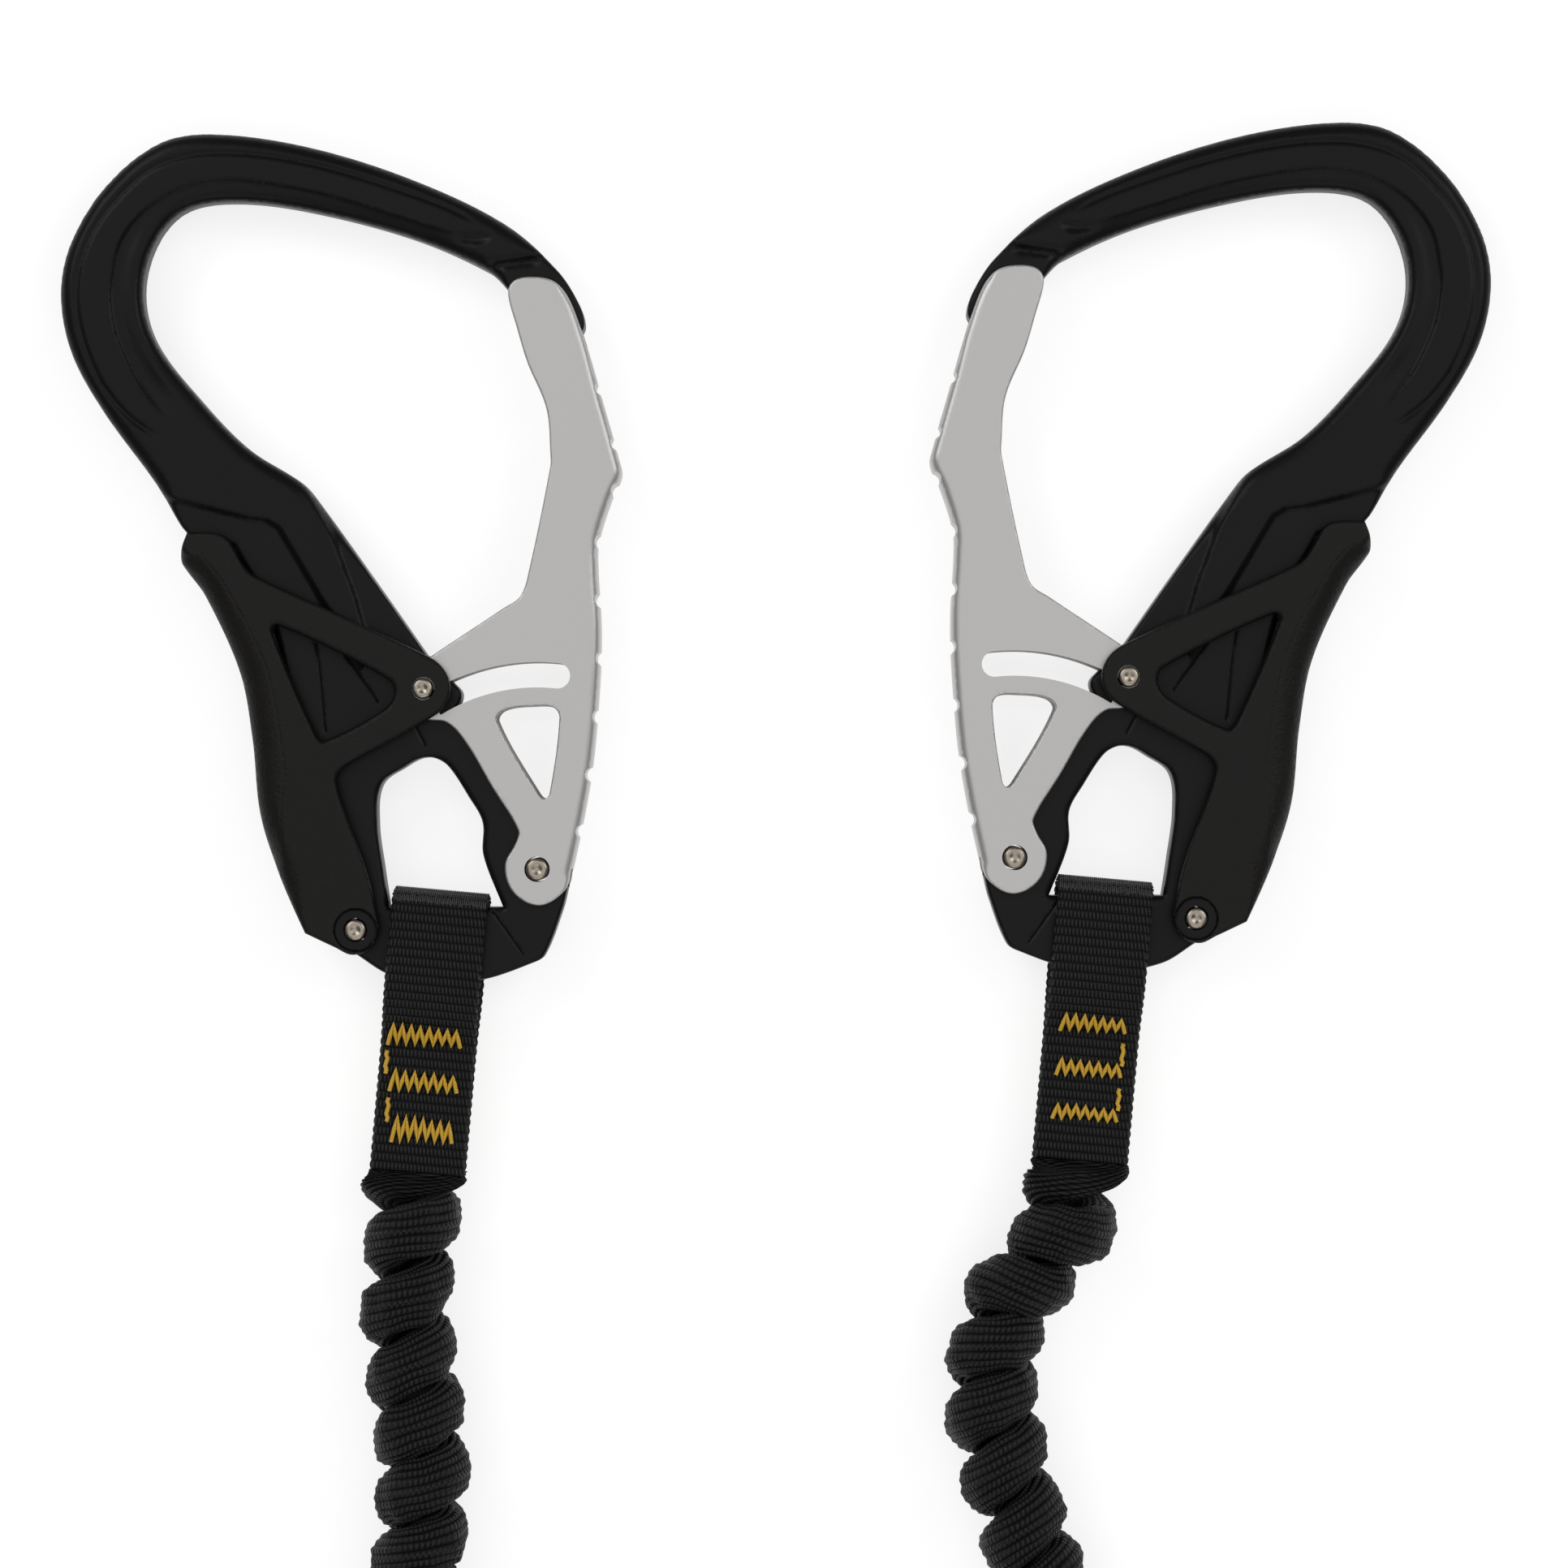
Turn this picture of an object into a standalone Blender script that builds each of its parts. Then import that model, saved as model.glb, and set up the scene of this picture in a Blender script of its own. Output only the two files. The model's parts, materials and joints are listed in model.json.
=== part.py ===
"""Via ferrata lanyard at rest on a table: two palm-squeeze carabiners, each sewn by a
webbing loop to a gathered elastic arm, and the arms running into an energy absorber
whose harness loop lies between them. Metres, +Z up, the table is the plane Z = 0.

The outlines of the carabiner are shares of its length, measured from the gate's pivot.
The right carabiner is the left one turned over, so both use the same meshes."""

import math

import bmesh
import bpy
from mathutils import Matrix, Vector

# Where the pieces lie
CARABINER_LENGTH = 0.173
ORIGIN_SHIFT = (0.00165, 0.1248)
MID_HEIGHT = 0.0089
LEFT_GATE_PIVOT = (-0.0504, -0.0174)
RIGHT_GATE_PIVOT = (0.0471, -0.0150)
# Where each sewn loop holds the frame, as shares of the length from the gate's pivot
LEFT_LOOP_SHARES = (-0.1156, -0.0462)
RIGHT_LOOP_SHARES = (0.1069, -0.0462)
LOOP_TILT = math.radians(-5.1)

# Half thicknesses, counted from the carabiner's middle plane
FRAME_HALF = 0.00525
LOW_FRAME_HALF = 0.0042
GATE_HALF = 0.0060
GATE_INSIDE_HALF = 0.0045
LEVER_HALF = 0.0083
LEVER_INSIDE_HALF = 0.0045
LEVER_ARM_INSIDE_HALF = 0.0063
RIVET_STAND = 0.0006
CLEARANCE = 0.0003
OVERRUN = 0.004

# Rims
HOOK_RIM = 0.0028
LOW_RIM = 0.0007
EYE_RIM = 0.0010
BEND_RADIUS = 0.0019
SHEET_EDGE = 0.00025
PALM_RIM = 0.0030
LEVER_EDGE = 0.0007
RIM_STEPS = 2
FLAT_MARGIN = 0.0002
LIP = 0.00005

# Grooves on both faces of the hook
GROOVE_RADIUS = 0.0013
GROOVE_DEPTH = 0.00050
VALLEY_RADIUS = 0.0050
VALLEY_DEPTH = 0.00085
VALLEY_OFFSET = 0.0026
GROOVE_SIDES = 10

# Rivets, washers and springs
RIVET_SIDES = 14
GATE_RIVET_RADIUS = 0.0023
LEVER_RIVET_RADIUS = 0.0022
LATCH_RIVET_RADIUS = 0.0021
LATCH_PIN_RADIUS = 0.0015
LATCH_PIN_HALF = 0.0043
WASHER_RADIUS = 0.0040
WASHER_SEAT_DEPTH = 0.0005
RIVET_DISH = 0.00025
RIVET_EDGE = 0.00035
SPRING_WIRE_RADIUS = 0.0004
SPRING_COIL_RADIUS = 0.0031
SPRING_TURNS = 2
SPRING_PITCH = 0.00105
SPRING_POINTS = 8
SPRING_POCKET_RADIUS = 0.0038
SPRING_POCKET_HALF = 0.0023
SPRING_SHORT_LEG = 0.0034
SPRING_LONG_LEG = 0.0072
SPRING_MOUTH_REACH = 0.0120
SPRING_MOUTH_HALF = 0.0037

# Gate sheet
SLOT_RADIUS_SHARE = 0.2295
SLOT_RADIUS = SLOT_RADIUS_SHARE * CARABINER_LENGTH
SLOT_HALF_WIDTH = 0.0026
SLOT_START = math.radians(84.0)
SLOT_END = math.radians(122.0)
NOTCH_RADIUS = 0.0016
NOTCH_DEPTH = 0.0008
NOTCH_SIDES = 10

# Travel of the latch
LEVER_SWING = math.radians(4.5)

# Webbing, as wide as the eye takes. The sewn loop's section gives places along the loop
# as shares of the carabiner's length, and the half height at each.
WEBBING_WIDTH_SHARE = 0.1156
WEBBING_WIDTH = WEBBING_WIDTH_SHARE * CARABINER_LENGTH
WEBBING_THICKNESS = 0.0020
WEBBING_EDGE = 0.0004
LOOP_OUTLINE_SHARES = (0.0202, 0.0127, -0.0035, -0.0954, -0.1214, -0.1532, -0.1792, -0.3150)
LOOP_OUTLINE_HALVES = (0.0036, 0.0058, 0.0067, 0.0067, 0.0056, 0.0030, 0.0022, 0.0022)
LOOP_HOLE_SHARES = (0.0087, 0.0040, -0.0069, -0.1012, -0.1202, -0.1445, -0.1549)
LOOP_HOLE_HALVES = (0.0027, 0.0042, 0.0047, 0.0047, 0.0036, 0.0012, 0.0000)

# Elastic arms
ARM_RADIUS = 0.0048
CURL_RADIUS = 0.0050
CURL_PITCH = 0.0125
CURL_POINTS = 8
ARM_STRAIGHT = 0.0098
ARM_RISE = 0.0080
ROUTE_STEPS = 24
LOOP_TO_ARM = 0.0005
DRAWN_POINTS = (3, 9)
LEFT_ARM_ROUTE = (
    (-0.0753, -0.0802, 0.0089), (-0.0757, -0.0853, 0.0089), (-0.0762, -0.0903, 0.0094),
    (-0.0771, -0.1000, 0.0102), (-0.0774, -0.1120, 0.0102), (-0.0758, -0.1240, 0.0102),
    (-0.0743, -0.1380, 0.0102), (-0.0745, -0.1560, 0.0102), (-0.0775, -0.1850, 0.0102),
    (-0.0835, -0.2250, 0.0102), (-0.0905, -0.2750, 0.0102), (-0.0945, -0.3250, 0.0102),
    (-0.0952, -0.3750, 0.0102), (-0.0945, -0.4080, 0.0102), (-0.0845, -0.4340, 0.0102),
    (-0.0640, -0.4500, 0.0102), (-0.0400, -0.4490, 0.0102), (-0.0215, -0.4330, 0.0102),
    (-0.0125, -0.4110, 0.0110), (-0.0115, -0.3940, 0.0130), (-0.0115, -0.3805, 0.0130),
)
RIGHT_ARM_ROUTE = (
    (0.0607, -0.0778, 0.0089), (0.0603, -0.0829, 0.0089), (0.0593, -0.0879, 0.0094),
    (0.0555, -0.0945, 0.0102), (0.0500, -0.1005, 0.0102), (0.0452, -0.1075, 0.0102),
    (0.0428, -0.1160, 0.0102), (0.0425, -0.1260, 0.0102), (0.0447, -0.1380, 0.0102),
    (0.0510, -0.1580, 0.0102), (0.0620, -0.1880, 0.0102), (0.0740, -0.2240, 0.0102),
    (0.0850, -0.2720, 0.0102), (0.0925, -0.3230, 0.0102), (0.0950, -0.3750, 0.0102),
    (0.0945, -0.4080, 0.0102), (0.0845, -0.4340, 0.0102), (0.0640, -0.4500, 0.0102),
    (0.0400, -0.4490, 0.0102), (0.0215, -0.4330, 0.0102), (0.0125, -0.4110, 0.0110),
    (0.0115, -0.3940, 0.0130), (0.0115, -0.3805, 0.0130),
)

# Energy absorber
POUCH_WIDTH = 0.0460
POUCH_HEIGHT = 0.0260
POUCH_TOP_Y = -0.2750
POUCH_BOTTOM_Y = -0.3850
POUCH_WALL = 0.0016
POUCH_ROUND = 0.0090
STACK_SIDE_ROOM = 0.0064
STACK_WIDTH = POUCH_WIDTH - 2 * POUCH_WALL - 2 * STACK_SIDE_ROOM
STACK_THICKNESS = 0.0021
STACK_LAYERS = 7
STACK_GAP = ((POUCH_HEIGHT - 2 * POUCH_WALL - 2 * CLEARANCE - STACK_LAYERS * STACK_THICKNESS)
             / (STACK_LAYERS - 1))
STACK_TOP_Y = -0.2830
STACK_BOTTOM_Y = -0.3800
HARNESS_FRONT_Y = -0.1850
HARNESS_MOUTH_HALF = 0.0060
HARNESS_SLIT_HALF = 0.00022
# How far the loop is open: shares of its length from the stack, and of the mouth's half height
HARNESS_OPENING_SHARES = ((0.00, 0.30), (0.14, 0.30), (0.30, 0.55), (0.50, 0.85), (0.72, 1.00),
                          (0.88, 0.92), (0.96, 0.68), (0.995, 0.30))
HARNESS_NOSE_SHARES = (0.5, 0.75)

CORNER = "corner"
FRAME_SHARES = (
    (0.0490, 0.6335), (0.0556, 0.6440), (0.0489, 0.6686), (0.0235, 0.7077), (-0.0391, 0.7634),
    (-0.1515, 0.8172), (-0.2747, 0.8553), (-0.3871, 0.8700), (-0.4497, 0.8583), (-0.5122, 0.8074),
    (-0.5533, 0.7400), (-0.5650, 0.6794), (-0.5523, 0.6109), (-0.5152, 0.5425), (-0.4526, 0.4565),
    (-0.4223, 0.4066), (-0.4145, 0.3969, CORNER), (-0.4066, 0.3851, CORNER),
    (-0.3597, 0.3822, CORNER), (-0.3128, 0.2933), (-0.2933, 0.1906), (-0.2893, 0.0782),
    (-0.2708, 0.0000), (-0.2414, -0.0616), (-0.2346, -0.0909), (-0.2151, -0.1007, CORNER),
    (-0.1750, -0.1251), (-0.1124, -0.1359), (-0.0606, -0.1300), (-0.0068, -0.1114),
    (0.0078, -0.1026), (0.0293, -0.0479), (0.0362, -0.0200, CORNER), (0.0262, -0.0030, CORNER),
    (0.0190, 0.0200), (0.0000, 0.0280), (-0.0196, 0.0635), (-0.0665, 0.1398), (-0.0948, 0.1808),
    (-0.0899, 0.2072), (-0.1017, 0.2219), (-0.1241, 0.2444), (-0.1329, 0.2551, CORNER),
    (-0.1828, 0.3265), (-0.2630, 0.4389), (-0.2815, 0.4585), (-0.3441, 0.4985), (-0.3998, 0.5552),
    (-0.4526, 0.6237), (-0.4673, 0.6823), (-0.4526, 0.7419), (-0.4184, 0.7791), (-0.3617, 0.7898),
    (-0.2747, 0.7801), (-0.1505, 0.7478), (-0.0587, 0.7077), (-0.0342, 0.6843), (-0.0196, 0.6618),
    (0.0342, 0.6393),
)
# The first and the last of the points whose rims have the hook's full round
OUTER_ROUND_POINTS = (4, 14)
INNER_ROUND_POINTS = (44, 55)
EYE_SHARES = (
    (-0.1760, -0.0450, CORNER), (-0.1828, 0.0000), (-0.1896, 0.0538), (-0.1848, 0.0997),
    (-0.1564, 0.1212), (-0.1378, 0.1310), (-0.1212, 0.1310), (-0.1056, 0.1212), (-0.0821, 0.0860),
    (-0.0655, 0.0557), (-0.0645, 0.0166), (-0.0410, -0.0450, CORNER),
)
GATE_SHARES = (
    (-0.0342, 0.6774), (-0.0303, 0.6921), (-0.0147, 0.6989), (0.0176, 0.6950), (0.0362, 0.6764),
    (0.0547, 0.6285), (0.0762, 0.5543), (0.0948, 0.4878), (0.0987, 0.4663), (0.0870, 0.4389),
    (0.0714, 0.3881), (0.0704, 0.3568), (0.0743, 0.2835), (0.0723, 0.2151), (0.0626, 0.1114),
    (0.0401, -0.0029), (0.0313, -0.0264), (0.0020, -0.0430), (-0.0283, -0.0274), (-0.0381, 0.0049),
    (-0.0254, 0.0313), (-0.0225, 0.0459), (-0.0538, 0.0978), (-0.0850, 0.1505), (-0.1065, 0.1730),
    (-0.1300, 0.1769), (-0.1505, 0.1887), (-0.1574, 0.2102), (-0.1486, 0.2336), (-0.1281, 0.2493),
    (-0.0401, 0.3079), (-0.0196, 0.3226), (-0.0088, 0.3568), (0.0156, 0.4761), (0.0156, 0.4888),
    (0.0108, 0.5435), (-0.0117, 0.5982), (-0.0244, 0.6403),
)
GATE_BEND_POINTS = (6, 15)
GATE_WINDOW_SHARES = (
    (-0.0479, 0.1750), (-0.0401, 0.1877), (-0.0049, 0.1926), (0.0196, 0.1906), (0.0264, 0.1789),
    (0.0147, 0.0890), (0.0088, 0.0831), (0.0010, 0.0890),
)
# The channel between the plates: the web's inner face, then a way round outside the sheet
GATE_CHANNEL_SHARES = (
    (0.0313, 0.0010), (0.0538, 0.1134), (0.0635, 0.2151), (0.0655, 0.2835), (0.0616, 0.3568),
    (0.0626, 0.3920), (0.0782, 0.4418), (0.0899, 0.4663), (0.0860, 0.4858), (0.0674, 0.5523),
    (0.0479, 0.6188), (0.1300, 0.6230), (0.1300, 0.7600), (-0.1000, 0.7600), (-0.2000, 0.2000),
    (-0.1000, -0.1000), (0.1000, -0.1000), (0.1000, -0.0050),
)
NOTCH_SHARES = ((0.0726, 0.5690), (0.0907, 0.5040), (0.0915, 0.4470), (0.0723, 0.3870),
                (0.0723, 0.3180), (0.0737, 0.2490), (0.0697, 0.1800), (0.0610, 0.1110),
                (0.0500, 0.0440))
LEVER_SHARES = (
    (-0.4115, 0.3969, CORNER), (-0.3754, 0.3959), (-0.3627, 0.3871), (-0.3460, 0.3587),
    (-0.3343, 0.3470), (-0.2346, 0.3011), (-0.1281, 0.2512), (-0.1095, 0.2356), (-0.1017, 0.2131),
    (-0.1085, 0.1916), (-0.1310, 0.1750), (-0.2248, 0.1222), (-0.2346, 0.1114), (-0.2356, 0.1007),
    (-0.2258, 0.0674), (-0.2004, -0.0020), (-0.1867, -0.0596), (-0.1857, -0.0733),
    (-0.1955, -0.0929), (-0.2170, -0.1007), (-0.2375, -0.0919), (-0.2727, -0.0753, CORNER),
    (-0.3030, -0.0108), (-0.3275, 0.0635), (-0.3372, 0.1544), (-0.3519, 0.2326), (-0.3920, 0.3216),
    (-0.4145, 0.3529), (-0.4203, 0.3646), (-0.4174, 0.3812),
)
LEVER_PALM_POINTS = (22, 28)
LEVER_WINDOW_SHARES = (
    (-0.3089, 0.2893), (-0.3157, 0.2825), (-0.2620, 0.1574), (-0.2493, 0.1515), (-0.1799, 0.1887),
    (-0.1681, 0.2063), (-0.1750, 0.2239),
)
# The hollow behind the palm face, then a way round outside the lever
LEVER_HOLLOW_SHARES = (
    (-0.2522, -0.1320), (-0.2581, -0.0616), (-0.2864, -0.0039), (-0.3001, 0.0313),
    (-0.3099, 0.0655), (-0.3157, 0.1134), (-0.3196, 0.1564), (-0.3245, 0.1955), (-0.3343, 0.2375),
    (-0.3490, 0.2786), (-0.3744, 0.3294), (-0.3988, 0.3597), (-0.4500, 0.3660), (-0.4500, 0.4400),
    (-0.0500, 0.4400), (-0.0500, -0.1320),
)
# The wider hollow where the gate's plates swing between the lever's arms
LEVER_ARM_HOLLOW_SHARES = (
    (-0.2650, -0.1320), (-0.2688, 0.0538), (-0.2757, 0.1222), (-0.2815, 0.1808),
    (-0.3011, 0.2590), (-0.3167, 0.3177), (-0.3206, 0.4154), (-0.0500, 0.4154),
    (-0.0500, -0.1320),
)
# The step from the hook's thick faces to the lower ones, then a way round outside the frame
LOW_FACE_SHARES = (
    (-0.4692, 0.4467), (-0.4291, 0.4360), (-0.3431, 0.4145), (-0.3206, 0.4115), (-0.3060, 0.4027),
    (-0.2454, 0.3011), (-0.2072, 0.2375), (-0.1994, 0.2688), (-0.2151, 0.3226), (-0.2424, 0.3959),
    (-0.2698, 0.4516), (-0.2250, 0.4650), (-0.0200, 0.3350), (0.1200, 0.1600), (0.1200, -0.2000),
    (-0.6000, -0.2000), (-0.6000, 0.4467),
)
NOSE_FACE_SHARES = (
    (-0.0684, 0.6970), (-0.0469, 0.7146), (-0.0196, 0.7185), (0.0293, 0.7302), (0.1300, 0.7302),
    (0.1300, 0.5700), (-0.0684, 0.5700),
)
OUTER_GROOVE_SHARES = (
    (-0.0665, 0.7595), (-0.0978, 0.7771), (-0.1505, 0.7977), (-0.2434, 0.8270), (-0.3216, 0.8426),
    (-0.3871, 0.8456), (-0.4311, 0.8377), (-0.4624, 0.8231), (-0.4936, 0.7947), (-0.5210, 0.7605),
    (-0.5386, 0.7204), (-0.5445, 0.6794), (-0.5415, 0.6452), (-0.5308, 0.6080), (-0.5122, 0.5699),
    (-0.4839, 0.5357), (-0.4418, 0.5054),
)
INNER_GROOVE_SHARES = (
    (-0.0547, 0.7458), (-0.0978, 0.7537), (-0.1505, 0.7693), (-0.2434, 0.7977), (-0.3216, 0.8133),
    (-0.3685, 0.8172), (-0.4115, 0.8104), (-0.4467, 0.7947), (-0.4770, 0.7693), (-0.4966, 0.7390),
    (-0.5054, 0.7009), (-0.5073, 0.6764), (-0.5024, 0.6393), (-0.4897, 0.6041), (-0.4682, 0.5640),
    (-0.4282, 0.5152),
)
LEVER_PIVOT_SHARES = (-0.2131, -0.0714)
LATCH_SHARES = (-0.1339, 0.2131)


def sized(shares):
    """The points of a share table in metres, each with its note on a corner."""
    return [(Vector(row[:2]) * CARABINER_LENGTH, CORNER in row) for row in shares]


def smooth_loop(points, steps, closed=True):
    """A smooth line through the points, with each corner kept."""
    count = len(points)
    line = []
    for index in range(count if closed else count - 1):
        here, here_corner = points[index]
        there, there_corner = points[(index + 1) % count]
        before = points[index - 1][0] if index or closed else here
        after = points[(index + 2) % count][0] if index + 2 < count or closed else there
        reach = (there - here).length / 3
        out = (there - here) if here_corner else (there - before)
        back = (here - there) if there_corner else (here - after)
        for step in range(steps):
            share = step / steps
            near = 1 - share
            line.append(here * near**3 + (here + out.normalized() * reach) * 3 * near**2 * share
                        + (there + back.normalized() * reach) * 3 * near * share**2
                        + there * share**3)
    if not closed:
        line.append(points[-1][0])
    return line


def area_of(line):
    return sum(a.x * b.y - b.x * a.y for a, b in zip(line, line[1:] + line[:1])) / 2


def inward(line):
    """The direction into the outline at each of its points."""
    turn = 1 if area_of(line) > 0 else -1
    found = []
    for index, point in enumerate(line):
        back = (point - line[index - 1]).normalized()
        ahead = (line[(index + 1) % len(line)] - point).normalized()
        left = Vector((-(back + ahead).y, (back + ahead).x)).normalized()
        side = Vector((-back.y, back.x))
        found.append(left * turn / max(left.dot(side), math.cos(math.radians(60))))
    return found


def loft(name, loops, collection):
    """One closed body through loops of points that lie one above the other."""
    mesh = bmesh.new()
    rings = [[mesh.verts.new(point) for point in loop] for loop in loops]
    for low, high in zip(rings, rings[1:]):
        for index in range(len(low)):
            after = (index + 1) % len(low)
            mesh.faces.new((low[index], low[after], high[after], high[index]))
    mesh.faces.new(rings[0][::-1])
    mesh.faces.new(rings[-1])
    bmesh.ops.recalc_face_normals(mesh, faces=mesh.faces)
    for face in mesh.faces:
        face.smooth = True
    data = bpy.data.meshes.new(name)
    mesh.to_mesh(data)
    mesh.free()
    data.set_sharp_from_angle(angle=math.radians(35))
    made = bpy.data.objects.new(name, data)
    collection.objects.link(made)
    return made


def slab(name, line, low, high, collection):
    return loft(name, [[(p.x, p.y, z) for p in line] for z in (low, high)], collection)


def spread(count, first, last, rims, steps):
    """Each outline sample's rim: the round one between two points, the plain one elsewhere."""
    plain, full = rims
    marks = [full if first <= index <= last else plain for index in range(count)]
    line = []
    for index in range(count):
        for step in range(steps):
            share = step / steps
            line.append(marks[index] * (1 - share) + marks[(index + 1) % count] * share)
    return line


def rounded_plate(name, line, rims, tops, half, collection):
    """A plate with rounded rims. Each sample has its own rim radius and height of its rim's top."""
    into = inward(line)
    above = []
    for step in range(RIM_STEPS + 1):
        angle = math.pi / 2 * step / RIM_STEPS
        above.append([
            (*(p + n * r * (1 - math.cos(angle))), top - r + r * math.sin(angle))
            for p, n, r, top in zip(line, into, rims, tops)
        ])
    above.append([
        (*(p + n * (r + FLAT_MARGIN)), half) for p, n, r in zip(line, into, rims)
    ])
    below = [[(x, y, -z) for x, y, z in loop] for loop in reversed(above)]
    return loft(name, below + above, collection)


def flared_cutter(name, line, half, rim, collection):
    """A cutter for a hole whose rims are rounded on both faces."""
    into = inward(line)
    above = []
    for step in range(RIM_STEPS + 1):
        angle = math.pi / 2 * step / RIM_STEPS
        above.append([
            (*(p - n * rim * (1 - math.cos(angle))), half - rim + rim * math.sin(angle))
            for p, n in zip(line, into)
        ])
    above.append([(*(p - n * rim), half + OVERRUN) for p, n in zip(line, into)])
    below = [[(x, y, -z) for x, y, z in loop] for loop in reversed(above)]
    return loft(name, below + above, collection)


def circle(radius, sides, centre=(0, 0)):
    return [
        Vector((centre[0] + radius * math.cos(turn), centre[1] + radius * math.sin(turn)))
        for turn in (2 * math.pi * index / sides for index in range(sides))
    ]


def round_cutter(name, centre, radius, half, collection):
    return slab(name, circle(radius, RIVET_SIDES, centre), -half, half, collection)


def groove_cutter(name, line, radius, height, collection):
    """A round bar along the line, to be sunk into a face."""
    loops = []
    for index, point in enumerate(line):
        ahead = line[min(index + 1, len(line) - 1)] - line[max(index - 1, 0)]
        side = Vector((-ahead.y, ahead.x)).normalized()
        loops.append([
            (*(point + side * radius * math.cos(turn)), height + radius * math.sin(turn))
            for turn in (2 * math.pi * k / GROOVE_SIDES for k in range(GROOVE_SIDES))
        ])
    return loft(name, loops, collection)


def turned(name, profile, collection):
    """A body turned about Z from (radius, height) pairs, from the bottom up."""
    loops = [[(p.x, p.y, z) for p in circle(r, RIVET_SIDES)] for r, z in profile]
    return loft(name, loops, collection)


def cut(body, cutter):
    """Takes the cutter out of the body. The cutter follows the body's own axes."""
    cutter.parent = body
    cutter.display_type = "WIRE"
    cutter.hide_render = True
    step = body.modifiers.new("cut " + cutter.name, "BOOLEAN")
    step.operation = "DIFFERENCE"
    step.solver = "EXACT"
    step.object = cutter


def shade(body, material):
    body.data.materials.clear()
    body.data.materials.append(material)


def plain_material(name, colour, roughness, metallic):
    made = bpy.data.materials.new(name)
    made.use_nodes = True
    shader = made.node_tree.nodes["Principled BSDF"]
    shader.inputs["Base Color"].default_value = (*colour, 1)
    shader.inputs["Roughness"].default_value = roughness
    shader.inputs["Metallic"].default_value = metallic
    made.diffuse_color = (*colour, 1)
    return made


def frame_body(name, shown, cutters):
    """The forged hook: thick round-rimmed hook, lower faces under gate and lever, and the eye."""
    steps = 2
    points = sized(FRAME_SHARES)
    line = smooth_loop(points, steps)
    count = len(points)
    outer = spread(count, *OUTER_ROUND_POINTS, (0, 1), steps)
    inner = spread(count, *INNER_ROUND_POINTS, (0, 1), steps)
    fullness = [max(a, b) for a, b in zip(outer, inner)]
    rims = [LOW_RIM + (HOOK_RIM - LOW_RIM) * share for share in fullness]
    low_top = LOW_FRAME_HALF - LIP
    tops = [low_top + (FRAME_HALF - low_top) * share for share in fullness]
    body = rounded_plate(name, line, rims, tops, FRAME_HALF, shown)
    low_line = [point for point, _ in sized(LOW_FACE_SHARES)]
    nose_line = [point for point, _ in sized(NOSE_FACE_SHARES)]
    high = FRAME_HALF + OVERRUN
    for side, (low, top) in (("top", (LOW_FRAME_HALF, high)), ("bottom", (-high, -LOW_FRAME_HALF))):
        cut(body, slab(f"{name}_low_face_{side}", low_line, low, top, cutters))
        cut(body, slab(f"{name}_nose_face_{side}", nose_line, low, top, cutters))
    eye_line = smooth_loop(sized(EYE_SHARES), 1)
    cut(body, flared_cutter(name + "_eye", eye_line, LOW_FRAME_HALF, EYE_RIM, cutters))
    outer_line = smooth_loop(sized(OUTER_GROOVE_SHARES), 1, closed=False)
    land_line = smooth_loop(sized(INNER_GROOVE_SHARES), 1, closed=False)
    valley_line = []
    for index, point in enumerate(land_line):
        ahead = land_line[min(index + 1, len(land_line) - 1)] - land_line[max(index - 1, 0)]
        side = Vector((-ahead.y, ahead.x)).normalized()
        valley_line.append(point + side * VALLEY_OFFSET)
    for side, turn in (("top", 1), ("bottom", -1)):
        groove_height = (FRAME_HALF + GROOVE_RADIUS - GROOVE_DEPTH) * turn
        valley_height = (FRAME_HALF + VALLEY_RADIUS - VALLEY_DEPTH) * turn
        cut(body, groove_cutter(f"{name}_outer_groove_{side}", outer_line, GROOVE_RADIUS,
                                groove_height, cutters))
        cut(body, groove_cutter(f"{name}_inner_valley_{side}", valley_line, VALLEY_RADIUS,
                                valley_height, cutters))
    half = LOW_FRAME_HALF + OVERRUN
    cut(body, round_cutter(name + "_gate_rivet_bore", (0, 0), GATE_RIVET_RADIUS + CLEARANCE,
                           half, cutters))
    lever_pivot = Vector(LEVER_PIVOT_SHARES) * CARABINER_LENGTH
    cut(body, round_cutter(name + "_lever_rivet_bore", lever_pivot,
                           LEVER_RIVET_RADIUS + CLEARANCE, half, cutters))
    cut(body, slab(name + "_latch_slot", latch_slot_line(), -half, half, cutters))
    for side, centre in (("gate", Vector((0, 0))), ("lever", lever_pivot)):
        cut(body, round_cutter(f"{name}_{side}_spring_pocket", centre, SPRING_POCKET_RADIUS,
                               SPRING_POCKET_HALF, cutters))
    for side, centre, reach in (("gate", Vector((0, 0)), SPRING_MOUTH_REACH),
                                ("lever", lever_pivot, -SPRING_MOUTH_REACH)):
        mouth = box_line(centre, reach, SPRING_MOUTH_HALF)
        cut(body, slab(f"{name}_{side}_spring_mouth", mouth, -SPRING_POCKET_HALF,
                       SPRING_POCKET_HALF, cutters))
    return body


def box_line(centre, reach, half):
    """A rectangle that runs from the centre along X, as wide as the mouth of a pocket."""
    return [centre + Vector(p) for p in ((0, -half), (reach, -half), (reach, half), (0, half))]


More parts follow.
